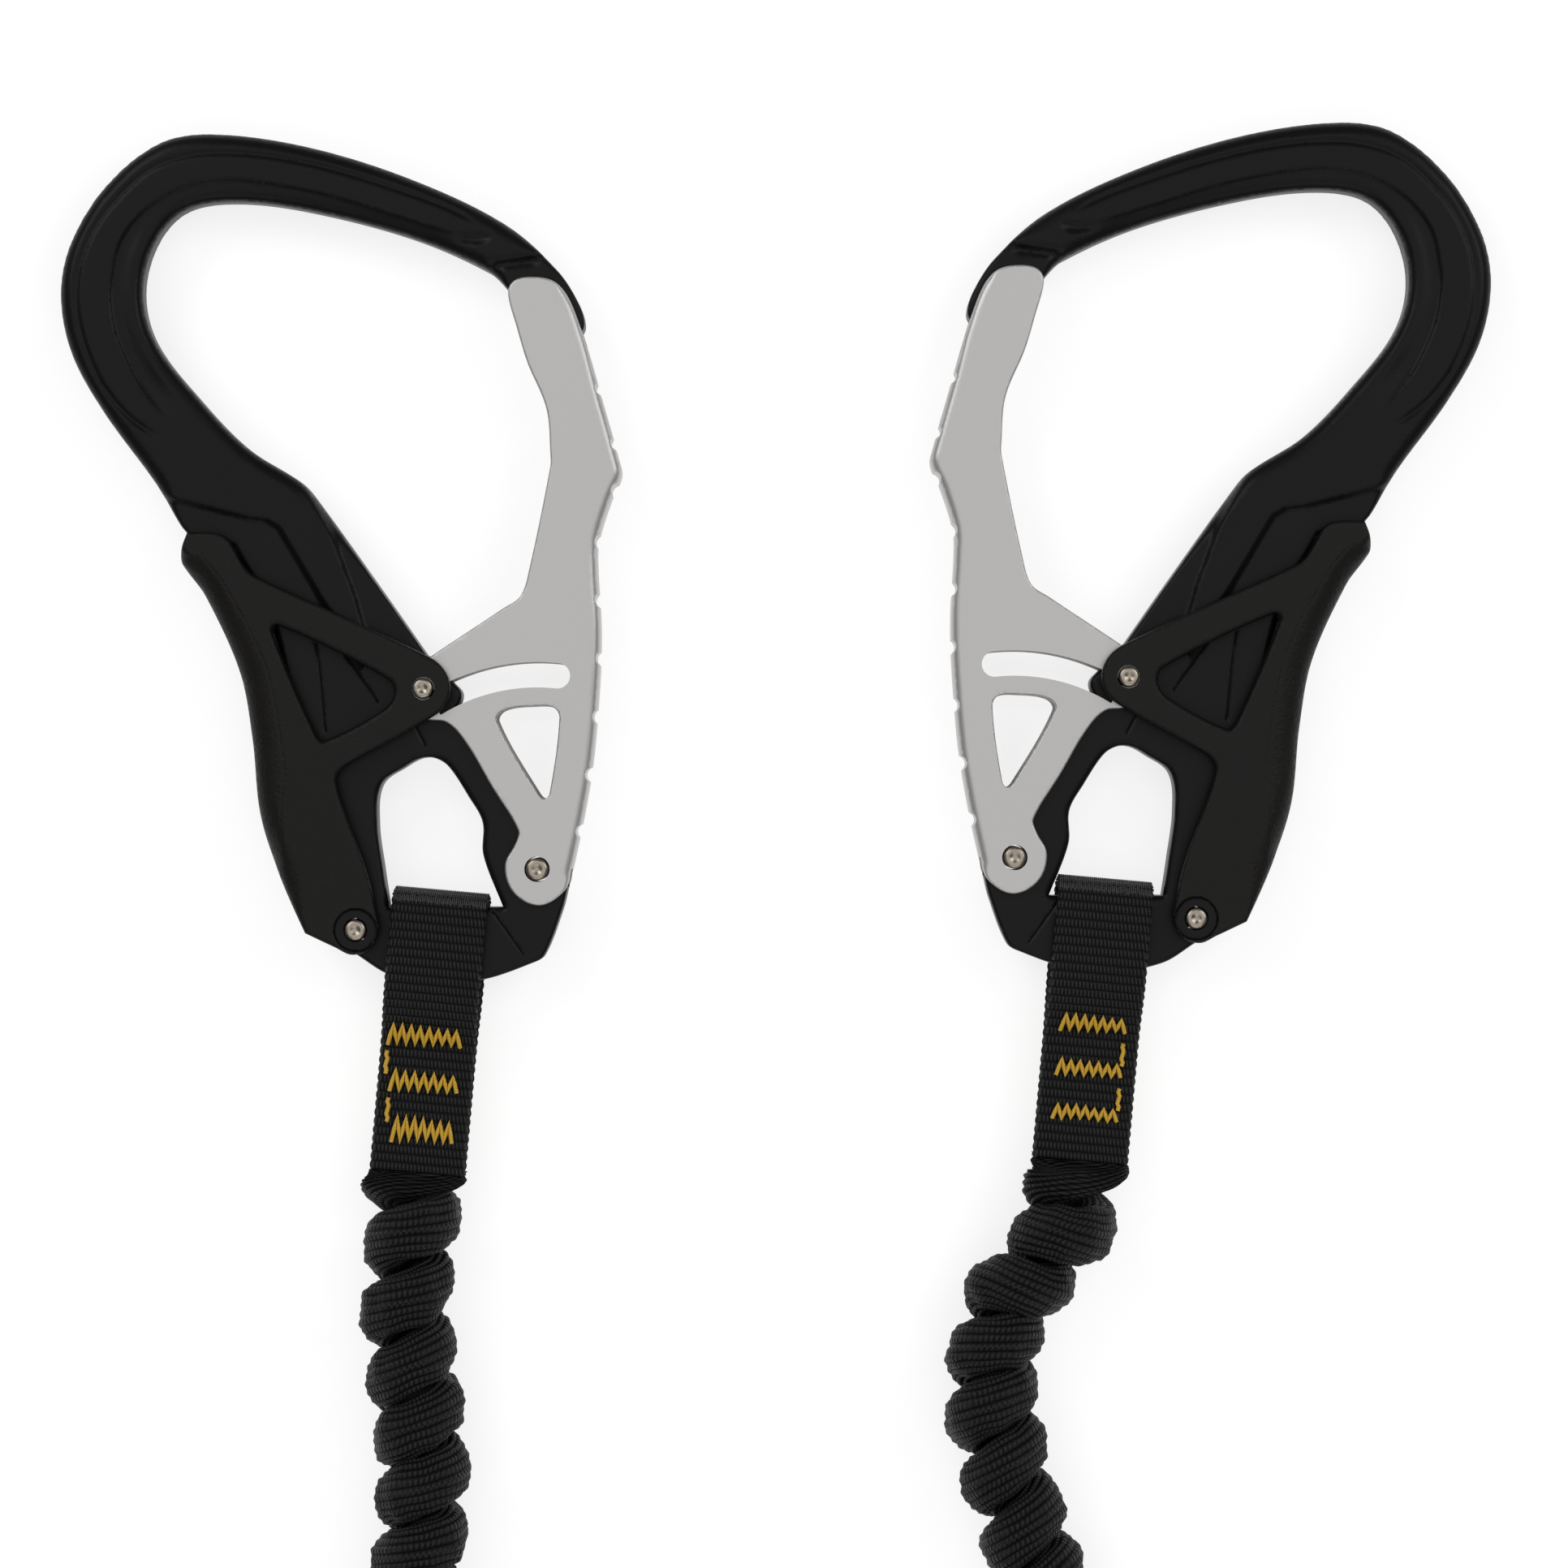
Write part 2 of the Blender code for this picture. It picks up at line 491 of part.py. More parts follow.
def latch_slot_line():
    """The slot in the frame's nose that the latch pin slides in, about the lever's pivot."""
    pivot = Vector(LEVER_PIVOT_SHARES) * CARABINER_LENGTH
    arm = Vector(LATCH_SHARES) * CARABINER_LENGTH - pivot
    half = LATCH_PIN_RADIUS + CLEARANCE
    line = []
    for turned_by, start in ((0, 90), (-LEVER_SWING, -90)):
        centre = arm.copy()
        centre.rotate(Matrix.Rotation(turned_by, 2))
        for index in range(7):
            side = math.radians(start + 30 * index) + math.atan2(arm.y, arm.x) - math.pi / 2
            line.append(pivot + centre + half * Vector((math.cos(side), math.sin(side))))
    return line


def gate_body(name, shown, cutters):
    """The gate, folded from one sheet: two plates joined by a web along the outer edge."""
    steps = 1
    points = sized(GATE_SHARES)
    line = smooth_loop(points, steps)
    rims = spread(len(points), *GATE_BEND_POINTS, (SHEET_EDGE, BEND_RADIUS), steps)
    body = rounded_plate(name, line, rims, [GATE_HALF] * len(line), GATE_HALF, shown)
    channel = [point for point, _ in sized(GATE_CHANNEL_SHARES)]
    cut(body, slab(name + "_channel", channel, -GATE_INSIDE_HALF, GATE_INSIDE_HALF, cutters))
    half = GATE_HALF + OVERRUN
    cut(body, slab(name + "_slot", slot_line(), -half, half, cutters))
    window = smooth_loop(sized(GATE_WINDOW_SHARES), 2)
    cut(body, slab(name + "_window", window, -half, half, cutters))
    cut(body, round_cutter(name + "_rivet_hole", (0, 0), GATE_RIVET_RADIUS + CLEARANCE, half,
                           cutters))
    for index, (point, _) in enumerate(sized(NOTCH_SHARES)):
        centre = point + Vector((NOTCH_RADIUS - NOTCH_DEPTH, 0))
        cut(body, slab(f"{name}_notch_{index}", circle(NOTCH_RADIUS, NOTCH_SIDES, centre),
                       -half, half, cutters))
    return body


def slot_line():
    """The curved slot that passes the latch, about the gate's pivot, open at its left end."""
    sweep = 10
    outer = []
    inner = []
    for index in range(sweep + 1):
        angle = SLOT_START + (SLOT_END - SLOT_START) * index / sweep
        ahead = Vector((math.cos(angle), math.sin(angle)))
        outer.append(ahead * (SLOT_RADIUS + SLOT_HALF_WIDTH))
        inner.append(ahead * (SLOT_RADIUS - SLOT_HALF_WIDTH))
    start = Vector((math.cos(SLOT_START), math.sin(SLOT_START)))
    across = Vector((start.y, -start.x))
    end = []
    for index in range(1, 6):
        turn = math.pi * index / 6
        end.append(start * (SLOT_RADIUS - SLOT_HALF_WIDTH * math.cos(turn))
                   + across * SLOT_HALF_WIDTH * math.sin(turn))
    return outer + inner[::-1] + end


def lever_body(name, shown, cutters):
    """The palm lever, about its own pivot: a shell whose arms reach to the latch and the rivet."""
    steps = 1
    pivot = Vector(LEVER_PIVOT_SHARES) * CARABINER_LENGTH
    points = [(point - pivot, corner) for point, corner in sized(LEVER_SHARES)]
    line = smooth_loop(points, steps)
    rims = spread(len(points), *LEVER_PALM_POINTS, (LEVER_EDGE, PALM_RIM), steps)
    body = rounded_plate(name, line, rims, [LEVER_HALF] * len(line), LEVER_HALF, shown)
    hollow = [point - pivot for point, _ in sized(LEVER_HOLLOW_SHARES)]
    cut(body, slab(name + "_hollow", hollow, -LEVER_INSIDE_HALF, LEVER_INSIDE_HALF, cutters))
    arms = [point - pivot for point, _ in sized(LEVER_ARM_HOLLOW_SHARES)]
    cut(body, slab(name + "_arm_hollow", arms, -LEVER_ARM_INSIDE_HALF, LEVER_ARM_INSIDE_HALF,
                   cutters))
    half = LEVER_HALF + OVERRUN
    window = smooth_loop([(point - pivot, corner) for point, corner in sized(LEVER_WINDOW_SHARES)],
                         2)
    cut(body, slab(name + "_window", window, -half, half, cutters))
    cut(body, round_cutter(name + "_rivet_hole", (0, 0), LEVER_RIVET_RADIUS + CLEARANCE, half,
                           cutters))
    latch = Vector(LATCH_SHARES) * CARABINER_LENGTH - pivot
    cut(body, round_cutter(name + "_latch_hole", latch, LATCH_RIVET_RADIUS + CLEARANCE, half,
                           cutters))
    for side, low in (("top", LEVER_HALF - WASHER_SEAT_DEPTH), ("bottom", -half)):
        cut(body, slab(f"{name}_washer_seat_{side}",
                       circle(WASHER_RADIUS + CLEARANCE, RIVET_SIDES), low,
                       low + half - LEVER_HALF + WASHER_SEAT_DEPTH, cutters))
    return body


def rivet(name, radius, half, shown):
    """A rivet through the middle plane, with dished ends."""
    return turned(name, (
        (radius - RIVET_EDGE * 3, -half + RIVET_DISH), (radius - RIVET_EDGE * 2, -half),
        (radius - RIVET_EDGE, -half), (radius, -half + RIVET_EDGE), (radius, half - RIVET_EDGE),
        (radius - RIVET_EDGE, half), (radius - RIVET_EDGE * 2, half),
        (radius - RIVET_EDGE * 3, half - RIVET_DISH),
    ), shown)


def stub_rivet(name, radius, low, high, shown):
    """A short rivet in one of the lever's arms, dished at its outer end."""
    return turned(name, (
        (radius - RIVET_EDGE, low), (radius, low + RIVET_EDGE), (radius, high - RIVET_EDGE),
        (radius - RIVET_EDGE, high), (radius - RIVET_EDGE * 2, high),
        (radius - RIVET_EDGE * 3, high - RIVET_DISH),
    ), shown)


def washer(name, inner, outer, low, high, shown, cutters):
    body = turned(name, ((outer - RIVET_EDGE, low), (outer, low + RIVET_EDGE), (outer, high),),
                  shown)
    cut(body, round_cutter(name + "_hole", (0, 0), inner, abs(high) + OVERRUN, cutters))
    return body


def wire(name, points, radius, roundness, shown):
    """One unbroken tube through the points, with closed ends. Roundness 1 gives it six sides."""
    data = bpy.data.curves.new(name, "CURVE")
    data.dimensions = "3D"
    data.bevel_depth = radius
    data.bevel_resolution = roundness
    data.use_fill_caps = True
    spline = data.splines.new("POLY")
    spline.points.add(len(points) - 1)
    for slot, point in zip(spline.points, points):
        slot.co = (*point, 1)
    made = bpy.data.objects.new(name, data)
    shown.objects.link(made)
    return made


def spring_points(start, first_leg, last_leg):
    """A torsion spring's wire: a leg, its coil about Z and a second leg on the same side."""
    count = SPRING_TURNS * SPRING_POINTS + SPRING_POINTS // 2
    rise = SPRING_PITCH / SPRING_POINTS
    low = -rise * count / 2
    points = []
    for index in range(count + 1):
        turn = math.radians(start) + 2 * math.pi * index / SPRING_POINTS
        points.append(Vector((SPRING_COIL_RADIUS * math.cos(turn),
                              SPRING_COIL_RADIUS * math.sin(turn), low + rise * index)))
    aside = Vector((math.sin(math.radians(start)), 0, 0))
    return [points[0] + aside * first_leg, *points, points[-1] + aside * last_leg]


def webbing_loop(name, shown, cutters):
    """The sewn loop round the frame's bottom bar, its section in the Y-Z plane."""
    half = WEBBING_WIDTH / 2
    front = [Vector((share * CARABINER_LENGTH, z))
             for share, z in zip(LOOP_OUTLINE_SHARES, LOOP_OUTLINE_HALVES)]
    section = front + [Vector((p.x, -p.y)) for p in front[::-1]]
    into = inward(section)
    loops = []
    for x, inset in ((-half, WEBBING_EDGE), (-half + WEBBING_EDGE, 0), (half - WEBBING_EDGE, 0),
                     (half, WEBBING_EDGE)):
        loops.append([(x, *(p + n * inset)) for p, n in zip(section, into)])
    body = loft(name, loops, shown)
    hole = [Vector((share * CARABINER_LENGTH, z))
            for share, z in zip(LOOP_HOLE_SHARES, LOOP_HOLE_HALVES)]
    hole += [Vector((p.x, -p.y)) for p in hole[-2::-1]]
    wide = half + OVERRUN
    cut(body, loft(name + "_bar_way", [[(x, *p) for p in hole] for x in (-wide, wide)], cutters))
    return body


def loop_place(pivot, shares):
    """Where a sewn loop's own origin lies, before the shift."""
    return Vector(pivot) + Vector(shares) * CARABINER_LENGTH


def drawn_route(route, place):
    """The arm's route, drawn along with its first points so that it starts at the loop's end."""
    length = LOOP_TO_ARM - LOOP_OUTLINE_SHARES[-1] * CARABINER_LENGTH
    start = place + length * Vector((math.sin(LOOP_TILT), -math.cos(LOOP_TILT)))
    move = Vector((start.x - route[0][0], start.y - route[0][1], 0))
    first, last = DRAWN_POINTS
    shares = [min(1, max(0, (last - index) / (last - first))) for index in range(len(route))]
    return [Vector(point) + move * share for point, share in zip(route, shares)]


def route_line(route):
    """A smooth line through the route's points, evenly stepped."""
    points = [Vector(p) for p in route]
    dense = []
    for index in range(len(points) - 1):
        here, there = points[index], points[index + 1]
        before = points[max(index - 1, 0)]
        after = points[min(index + 2, len(points) - 1)]
        reach = (there - here).length / 3
        out = here + (there - before).normalized() * reach
        back = there + (here - after).normalized() * reach
        for step in range(ROUTE_STEPS):
            share = step / ROUTE_STEPS
            near = 1 - share
            dense.append(here * near**3 + out * 3 * near**2 * share
                         + back * 3 * near * share**2 + there * share**3)
    dense.append(points[-1])
    return dense


def along(line, lengths, distance):
    """The point and the direction at a distance along the line."""
    index = 0
    while index < len(lengths) - 2 and lengths[index + 1] < distance:
        index += 1
    share = (distance - lengths[index]) / (lengths[index + 1] - lengths[index])
    here, there = line[index], line[index + 1]
    return here.lerp(there, share), (there - here).normalized()


def gathered_arm(name, route, shown):
    """The gathered elastic arm: curls round its route, straight at both ends."""
    line = route_line(route)
    lengths = [0.0]
    for here, there in zip(line, line[1:]):
        lengths.append(lengths[-1] + (there - here).length)
    total = lengths[-1]
    curled = total - 2 * ARM_STRAIGHT
    curls = round(curled / CURL_PITCH)
    points = [line[0]]
    for index in range(curls * CURL_POINTS + 1):
        distance = ARM_STRAIGHT + curled * index / (curls * CURL_POINTS)
        place, ahead = along(line, lengths, distance)
        side = Vector((0, 0, 1)).cross(ahead).normalized()
        up = ahead.cross(side)
        edge = min(distance - ARM_STRAIGHT, total - ARM_STRAIGHT - distance)
        grown = CURL_RADIUS * min(1, edge / ARM_RISE)
        turn = 2 * math.pi * index / CURL_POINTS
        points.append(place + side * grown * math.cos(turn) + up * grown * math.sin(turn))
    points.append(line[-1])
    print(f"{name}: {curls} curls along {total * 1000:.0f} mm,"
          f" least gap to itself {least_gap(points) * 1000:.2f} mm")
    return wire(name, points, ARM_RADIUS, 1, shown)


def least_gap(points):
    """The smallest distance between turns that aren't next to each other along the tube."""
    least = math.inf
    for index, point in enumerate(points):
        for other in points[index + CURL_POINTS - 2:index + CURL_POINTS * 2 + 2]:
            least = min(least, (point - other).length)
    return least - 2 * ARM_RADIUS


def pouch_body(name, shown, cutters):
    """The absorber's sleeve, open at both ends."""
    half_width = POUCH_WIDTH / 2
    half_height = POUCH_HEIGHT / 2
    outer = rounded_rectangle(half_width, half_height, POUCH_ROUND)
    ends = (POUCH_BOTTOM_Y, POUCH_TOP_Y)
    body = loft(name, [[(p.x, y, p.y + half_height) for p in outer] for y in ends], shown)
    inner = rounded_rectangle(half_width - POUCH_WALL, half_height - POUCH_WALL,
                              POUCH_ROUND - POUCH_WALL)
    ways = (POUCH_BOTTOM_Y - OVERRUN, POUCH_TOP_Y + OVERRUN)
    cut(body, loft(name + "_inside", [[(p.x, y, p.y + half_height) for p in inner] for y in ways],
                   cutters))
    return body


def rounded_rectangle(half_x, half_y, radius):
    line = []
    for quarter, (sx, sy) in enumerate(((1, 1), (-1, 1), (-1, -1), (1, -1))):
        for step in range(6):
            turn = math.pi / 2 * (quarter + step / 5)
            line.append(Vector((sx * (half_x - radius) + radius * math.cos(turn),
                                sy * (half_y - radius) + radius * math.sin(turn))))
    return line


def folded_stack(name, shown):
    """The tear webbing, folded to and fro into a stack, one strip without a break."""
    half = STACK_THICKNESS / 2
    pitch = STACK_THICKNESS + STACK_GAP
    lowest = POUCH_HEIGHT / 2 - pitch * (STACK_LAYERS - 1) / 2
    fold = pitch / 2
    upper = []
    lower = []
    for layer in range(STACK_LAYERS):
        height = lowest + pitch * layer
        runs_up = layer % 2 == 0
        start, end = (STACK_BOTTOM_Y, STACK_TOP_Y) if runs_up else (STACK_TOP_Y, STACK_BOTTOM_Y)
        inset = fold + half
        ahead = 1 if runs_up else -1
        first = start + (0 if layer == 0 else ahead * inset)
        last = end - (0 if layer == STACK_LAYERS - 1 else ahead * inset)
        left, right = (upper, lower) if runs_up else (lower, upper)
        for y in (first, last):
            left.append(Vector((y, height + half)))
            right.append(Vector((y, height - half)))
        if layer < STACK_LAYERS - 1:
            centre = height + fold
            wide, narrow = (lower, upper) if runs_up else (upper, lower)
            for turn in (-45, 0, 45):
                angle = math.radians(turn)
                reach = Vector((ahead * math.cos(angle), math.sin(angle)))
                wide.append(Vector((last, centre)) + reach * (fold + half))
                narrow.append(Vector((last, centre)) + reach * (fold - half))
    section = upper + lower[::-1]
    half_width = STACK_WIDTH / 2
    return loft(name, [[(x, *p) for p in section] for x in (-half_width, half_width)], shown)


def harness_loop(name, shown, cutters):
    """The webbing loop that is hitched to a harness, lying flat and a little open."""
    middle = POUCH_HEIGHT / 2
    tail_y = STACK_TOP_Y + CLEARANCE * 1.5
    length = HARNESS_FRONT_Y - tail_y
    opened = [(tail_y + length * along_share, HARNESS_MOUTH_HALF * open_share)
              for along_share, open_share in HARNESS_OPENING_SHARES]
    outer = [Vector((y, z + WEBBING_THICKNESS)) for y, z in opened[:-2]]
    (nose_y, nose_z), (tip_y, tip_z) = opened[-2:]
    outer.append(Vector((nose_y, nose_z)) + Vector(HARNESS_NOSE_SHARES) * WEBBING_THICKNESS)
    outer.append(Vector((tip_y + WEBBING_THICKNESS, tip_z)))
    section = outer + [Vector((y, -z)) for y, z in reversed(outer)]
    half = WEBBING_WIDTH / 2
    body = loft(name, [[(x, p.x, middle + p.y) for p in section] for x in (-half, half)], shown)
    inner = [Vector((y, z)) for y, z in opened[2:]]
    inner.insert(0, Vector((opened[1][0], HARNESS_SLIT_HALF)))
    hole = inner + [Vector((y, -z)) for y, z in reversed(inner)]
    wide = half + OVERRUN
    cut(body, loft(name + "_way", [[(x, p.x, middle + p.y) for p in hole] for x in (-wide, wide)],
                   cutters))
    return body


def carabiner(side, place, flipped, made, shown):
    """Places one carabiner's pieces. The second one shares the meshes of the first."""
    root = bpy.data.objects.new(side + "_carabiner", None)
    shown.objects.link(root)
    root.location = (place[0] + ORIGIN_SHIFT[0], place[1] + ORIGIN_SHIFT[1], MID_HEIGHT)
    root.rotation_euler = (0, math.pi if flipped else 0, 0)
    for piece, (body, pivot) in made.items():
        placed = twin(body, piece.replace("left_", "right_"), shown) if flipped else body
        placed.parent = root
        placed.location = (*pivot, 0)


def twin(body, name, shown):
    """A second piece of the same shape, with the first one's cuts made in its own mesh."""
    copy = body.copy()
    copy.name = name
    shown.objects.link(copy)
    if body.modifiers:
        graph = bpy.context.evaluated_depsgraph_get()
        copy.modifiers.clear()
        copy.data = bpy.data.meshes.new_from_object(body.evaluated_get(graph))
    return copy


def build():
    for old in list(bpy.data.objects):
        bpy.data.objects.remove(old)
    shown = bpy.data.collections.new("via_ferrata_lanyard")
    cutters = bpy.data.collections.new("cutters")
    cutters.hide_render = True
    for collection in (shown, cutters):
        bpy.context.scene.collection.children.link(collection)

    gate_pivot = (0, 0)
    lever_pivot = tuple(share * CARABINER_LENGTH for share in LEVER_PIVOT_SHARES)
    latch = tuple(share * CARABINER_LENGTH for share in LATCH_SHARES)
    rivet_top = LEVER_HALF + RIVET_STAND
    washer_low = LEVER_HALF - WASHER_SEAT_DEPTH + CLEARANCE / 3
    washer_high = LEVER_HALF + RIVET_STAND / 2
    latch_low = LEVER_ARM_INSIDE_HALF
    hole = LEVER_RIVET_RADIUS + CLEARANCE
    gate_spring = wire("left_gate_spring",
                       spring_points(90, SPRING_SHORT_LEG, SPRING_SHORT_LEG),
                       SPRING_WIRE_RADIUS, 0, shown)
    lever_spring = wire("left_lever_spring",
                        spring_points(-90, SPRING_SHORT_LEG, SPRING_LONG_LEG),
                        SPRING_WIRE_RADIUS, 0, shown)
    made = {
        "left_frame": (frame_body("left_frame", shown, cutters), gate_pivot),
        "left_gate": (gate_body("left_gate", shown, cutters), gate_pivot),
        "left_palm_lever": (lever_body("left_palm_lever", shown, cutters), lever_pivot),
        "left_gate_rivet": (rivet("left_gate_rivet", GATE_RIVET_RADIUS, GATE_HALF + RIVET_STAND,
                                  shown), gate_pivot),
        "left_lever_rivet": (rivet("left_lever_rivet", LEVER_RIVET_RADIUS, rivet_top, shown),
                             lever_pivot),
        "left_latch_rivet_top": (stub_rivet("left_latch_rivet_top", LATCH_RIVET_RADIUS, latch_low,
                                            rivet_top, shown), latch),
        "left_latch_pin": (turned("left_latch_pin", (
            (LATCH_PIN_RADIUS - RIVET_EDGE, -LATCH_PIN_HALF),
            (LATCH_PIN_RADIUS, -LATCH_PIN_HALF + RIVET_EDGE),
            (LATCH_PIN_RADIUS, LATCH_PIN_HALF - RIVET_EDGE),
            (LATCH_PIN_RADIUS - RIVET_EDGE, LATCH_PIN_HALF)), shown), latch),
        "left_lever_washer_top": (washer("left_lever_washer_top", hole, WASHER_RADIUS, washer_low,
                                         washer_high, shown, cutters), lever_pivot),
        "left_gate_spring": (gate_spring, gate_pivot),
        "left_lever_spring": (lever_spring, lever_pivot),
    }
    for name in ("latch_rivet", "lever_washer"):
        top, pivot = made[f"left_{name}_top"]
        bottom = twin(top, f"left_{name}_bottom", shown)
        bottom.rotation_euler = (math.pi, 0, 0)
        made[f"left_{name}_bottom"] = (bottom, pivot)

    colours = {
        "frame": ("black anodised alloy", (0.012, 0.012, 0.013), 0.32, 0.9),
        "gate": ("blasted alloy sheet", (0.46, 0.45, 0.44), 0.42, 1.0),
        "palm_lever": ("black textured plastic", (0.022, 0.021, 0.020), 0.55, 0.0),
        "rivet": ("steel rivet", (0.42, 0.40, 0.37), 0.30, 1.0),
        "spring": ("spring steel", (0.30, 0.30, 0.31), 0.35, 1.0),
        "webbing": ("black webbing", (0.014, 0.014, 0.015), 0.85, 0.0),
        "elastic": ("black elastic webbing", (0.016, 0.016, 0.017), 0.85, 0.0),
        "pouch": ("black pouch cloth", (0.020, 0.020, 0.022), 0.80, 0.0),
        "tear": ("yellow tear webbing", (0.55, 0.36, 0.04), 0.80, 0.0),
    }
    materials = {key: plain_material(*values) for key, values in colours.items()}
    kinds = {"frame": "frame", "gate": "gate", "palm_lever": "palm_lever",
             "gate_spring": "spring", "lever_spring": "spring"}
    for piece, (body, _) in made.items():
        shade(body, materials[kinds.get(piece.replace("left_", "", 1), "rivet")])

    carabiner("left", LEFT_GATE_PIVOT, False, made, shown)
    carabiner("right", RIGHT_GATE_PIVOT, True, made, shown)

    shift = Vector((*ORIGIN_SHIFT, 0))
    loop = webbing_loop("left_webbing_loop", shown, cutters)
    shade(loop, materials["webbing"])
    other = twin(loop, "right_webbing_loop", shown)
    left_place = loop_place(LEFT_GATE_PIVOT, LEFT_LOOP_SHARES)
    right_place = loop_place(RIGHT_GATE_PIVOT, RIGHT_LOOP_SHARES)
    for side, body, place, route in (("left", loop, left_place, LEFT_ARM_ROUTE),
                                     ("right", other, right_place, RIGHT_ARM_ROUTE)):
        body.location = (place.x + shift.x, place.y + shift.y, MID_HEIGHT)
        body.rotation_euler = (0, 0, LOOP_TILT)
        arm = gathered_arm(side + "_elastic_arm", drawn_route(route, place), shown)
        arm.location = shift
        shade(arm, materials["elastic"])

    pouch = pouch_body("absorber_pouch", shown, cutters)
    stack = folded_stack("tear_webbing", shown)
    hitch = harness_loop("harness_loop", shown, cutters)
    for body, key in ((pouch, "pouch"), (stack, "tear"), (hitch, "webbing")):
        body.location = shift
        shade(body, materials[key])


build()
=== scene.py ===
"""Looks of the via ferrata lanyard: anodised hooks, blasted gates, moulded levers, ribbed
webbing with gold bar tacks and gathered elastic arms, laid out on a pale floor."""

import json
import math
from bisect import bisect_right

import bmesh
import bpy
import numpy as np
from mathutils import Matrix, Vector, noise
from mathutils.geometry import delaunay_2d_cdt


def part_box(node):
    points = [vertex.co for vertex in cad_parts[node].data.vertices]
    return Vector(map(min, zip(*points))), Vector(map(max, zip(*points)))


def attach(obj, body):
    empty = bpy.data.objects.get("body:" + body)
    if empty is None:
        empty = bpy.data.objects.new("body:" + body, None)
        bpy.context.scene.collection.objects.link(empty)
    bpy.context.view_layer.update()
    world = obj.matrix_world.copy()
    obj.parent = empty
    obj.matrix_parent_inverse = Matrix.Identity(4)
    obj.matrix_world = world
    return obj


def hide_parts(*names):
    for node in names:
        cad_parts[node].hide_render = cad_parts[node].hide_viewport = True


bl_info = {
    "name": "Via ferrata lanyard",
    "version": (1, 0, 0),
    "blender": (4, 5, 0),
    "location": "3D View > Sidebar > Lanyard",
    "description": "Builds the pieces and finishes of a via ferrata lanyard",
    "category": "Object",
}

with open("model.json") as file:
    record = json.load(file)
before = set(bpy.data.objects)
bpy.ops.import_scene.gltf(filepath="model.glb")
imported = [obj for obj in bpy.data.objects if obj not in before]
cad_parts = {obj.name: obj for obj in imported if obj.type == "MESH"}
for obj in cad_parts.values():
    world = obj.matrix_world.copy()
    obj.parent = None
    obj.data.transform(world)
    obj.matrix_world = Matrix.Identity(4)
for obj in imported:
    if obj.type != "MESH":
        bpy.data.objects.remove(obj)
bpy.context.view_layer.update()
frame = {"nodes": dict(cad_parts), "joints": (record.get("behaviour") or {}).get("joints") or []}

SIDES = ("left", "right")
SHIFT = Vector((0.00165, 0.1248, 0))
# Width of what the camera sees at the height of the hooks' faces
VIEW_WIDTH = 0.322
VIEW_HEIGHT = 0.009
FLOOR_REACH = 2.2
FLOOR_DROP = 0.0003
ROOM_LIGHT = 0.13
# Each soft light's place, size and power
SOFTBOXES = {
    "overhead_softbox": ((0.0, 0.0, 1.75), (2.2, 2.2), 14.5),
    "key_softbox": ((-0.85, 0.75, 1.00), (0.8, 0.6), 5.5),
    "fill_softbox": ((0.95, 0.50, 0.95), (0.8, 0.6), 4.5),
    "low_softbox": ((0.05, -1.05, 0.85), (1.2, 0.5), 3.0),
}
LOOP_PLACES = {"left": Vector((-0.0704, -0.0254, 0.0089)),
               "right": Vector((0.0656, -0.0230, 0.0089))}
LOOP_TILT = math.radians(-5.1)
# Each arm's own way over the ground, then the bend that both share, mirrored on the left
ARM_STARTS = {
    "left": (
        (-0.0752, -0.0802), (-0.0757, -0.0853), (-0.0762, -0.0903), (-0.0771, -0.1000),
        (-0.0774, -0.1120), (-0.0758, -0.1240), (-0.0743, -0.1380), (-0.0745, -0.1560),
        (-0.0775, -0.1850), (-0.0835, -0.2250), (-0.0905, -0.2750), (-0.0945, -0.3250),
        (-0.0952, -0.3750),
    ),
    "right": (
        (0.0607, -0.0778), (0.0603, -0.0829), (0.0593, -0.0879), (0.0555, -0.0945),
        (0.0500, -0.1005), (0.0452, -0.1075), (0.0428, -0.1160), (0.0425, -0.1260),
        (0.0447, -0.1380), (0.0510, -0.1580), (0.0620, -0.1880), (0.0740, -0.2240),
        (0.0850, -0.2720), (0.0925, -0.3230), (0.0950, -0.3750),
    ),
}
ARM_BEND = ((0.0945, -0.4080), (0.0845, -0.4340), (0.0640, -0.4500), (0.0400, -0.4490),
            (0.0215, -0.4330), (0.0125, -0.4110), (0.0115, -0.3940), (0.0115, -0.3805))
# Heights of a route's first points, of its middle ones and of its last ones
ARM_HEIGHTS = ((0.0089, 0.0089, 0.0094), 0.0102, (0.0110, 0.0130, 0.0130))
# Where each arm's first gather turns outwards, and the seeds of its curl and of its folds
ARM_GATHERS = {"left": (0.0091, 3.1), "right": (0.0125, 7.7)}
ARM_SEEDS = {"left": 11.0, "right": 23.0}
ROUTE_STEPS = 24
# Strength and frequency of the curl's drift and swell and of the tape's lumps, waves and folds
CURL_DRIFT = (0.55, 40)
CURL_SWELL = (0.13, 75)
TAPE_LUMPS = (0.13, 210)
TAPE_WAVES = (0.03, 560)
TAPE_FOLDS = (0.10, 55)
TAPE_FOLDS_AROUND = 2.2
TAPE_RIBS = 0.028
FLAT_RIBS = 0.06
GATHER_PINCH = 0.16
# Half the width at which the noise of a gather is taken
GATHER_REACH = 0.005
# How far an arm starts inside its loop, and the length over which its end straightens
ARM_TUCK = 0.0016
ARM_FALL = 0.012
# The harness loop's opening, from the sewn end to the tip: shares of its length and height
HARNESS_OPENING_SHARES = ((0.00, 0.30), (0.14, 0.30), (0.30, 0.55), (0.50, 0.85), (0.72, 1.00),
                          (0.88, 0.92), (0.96, 0.68))
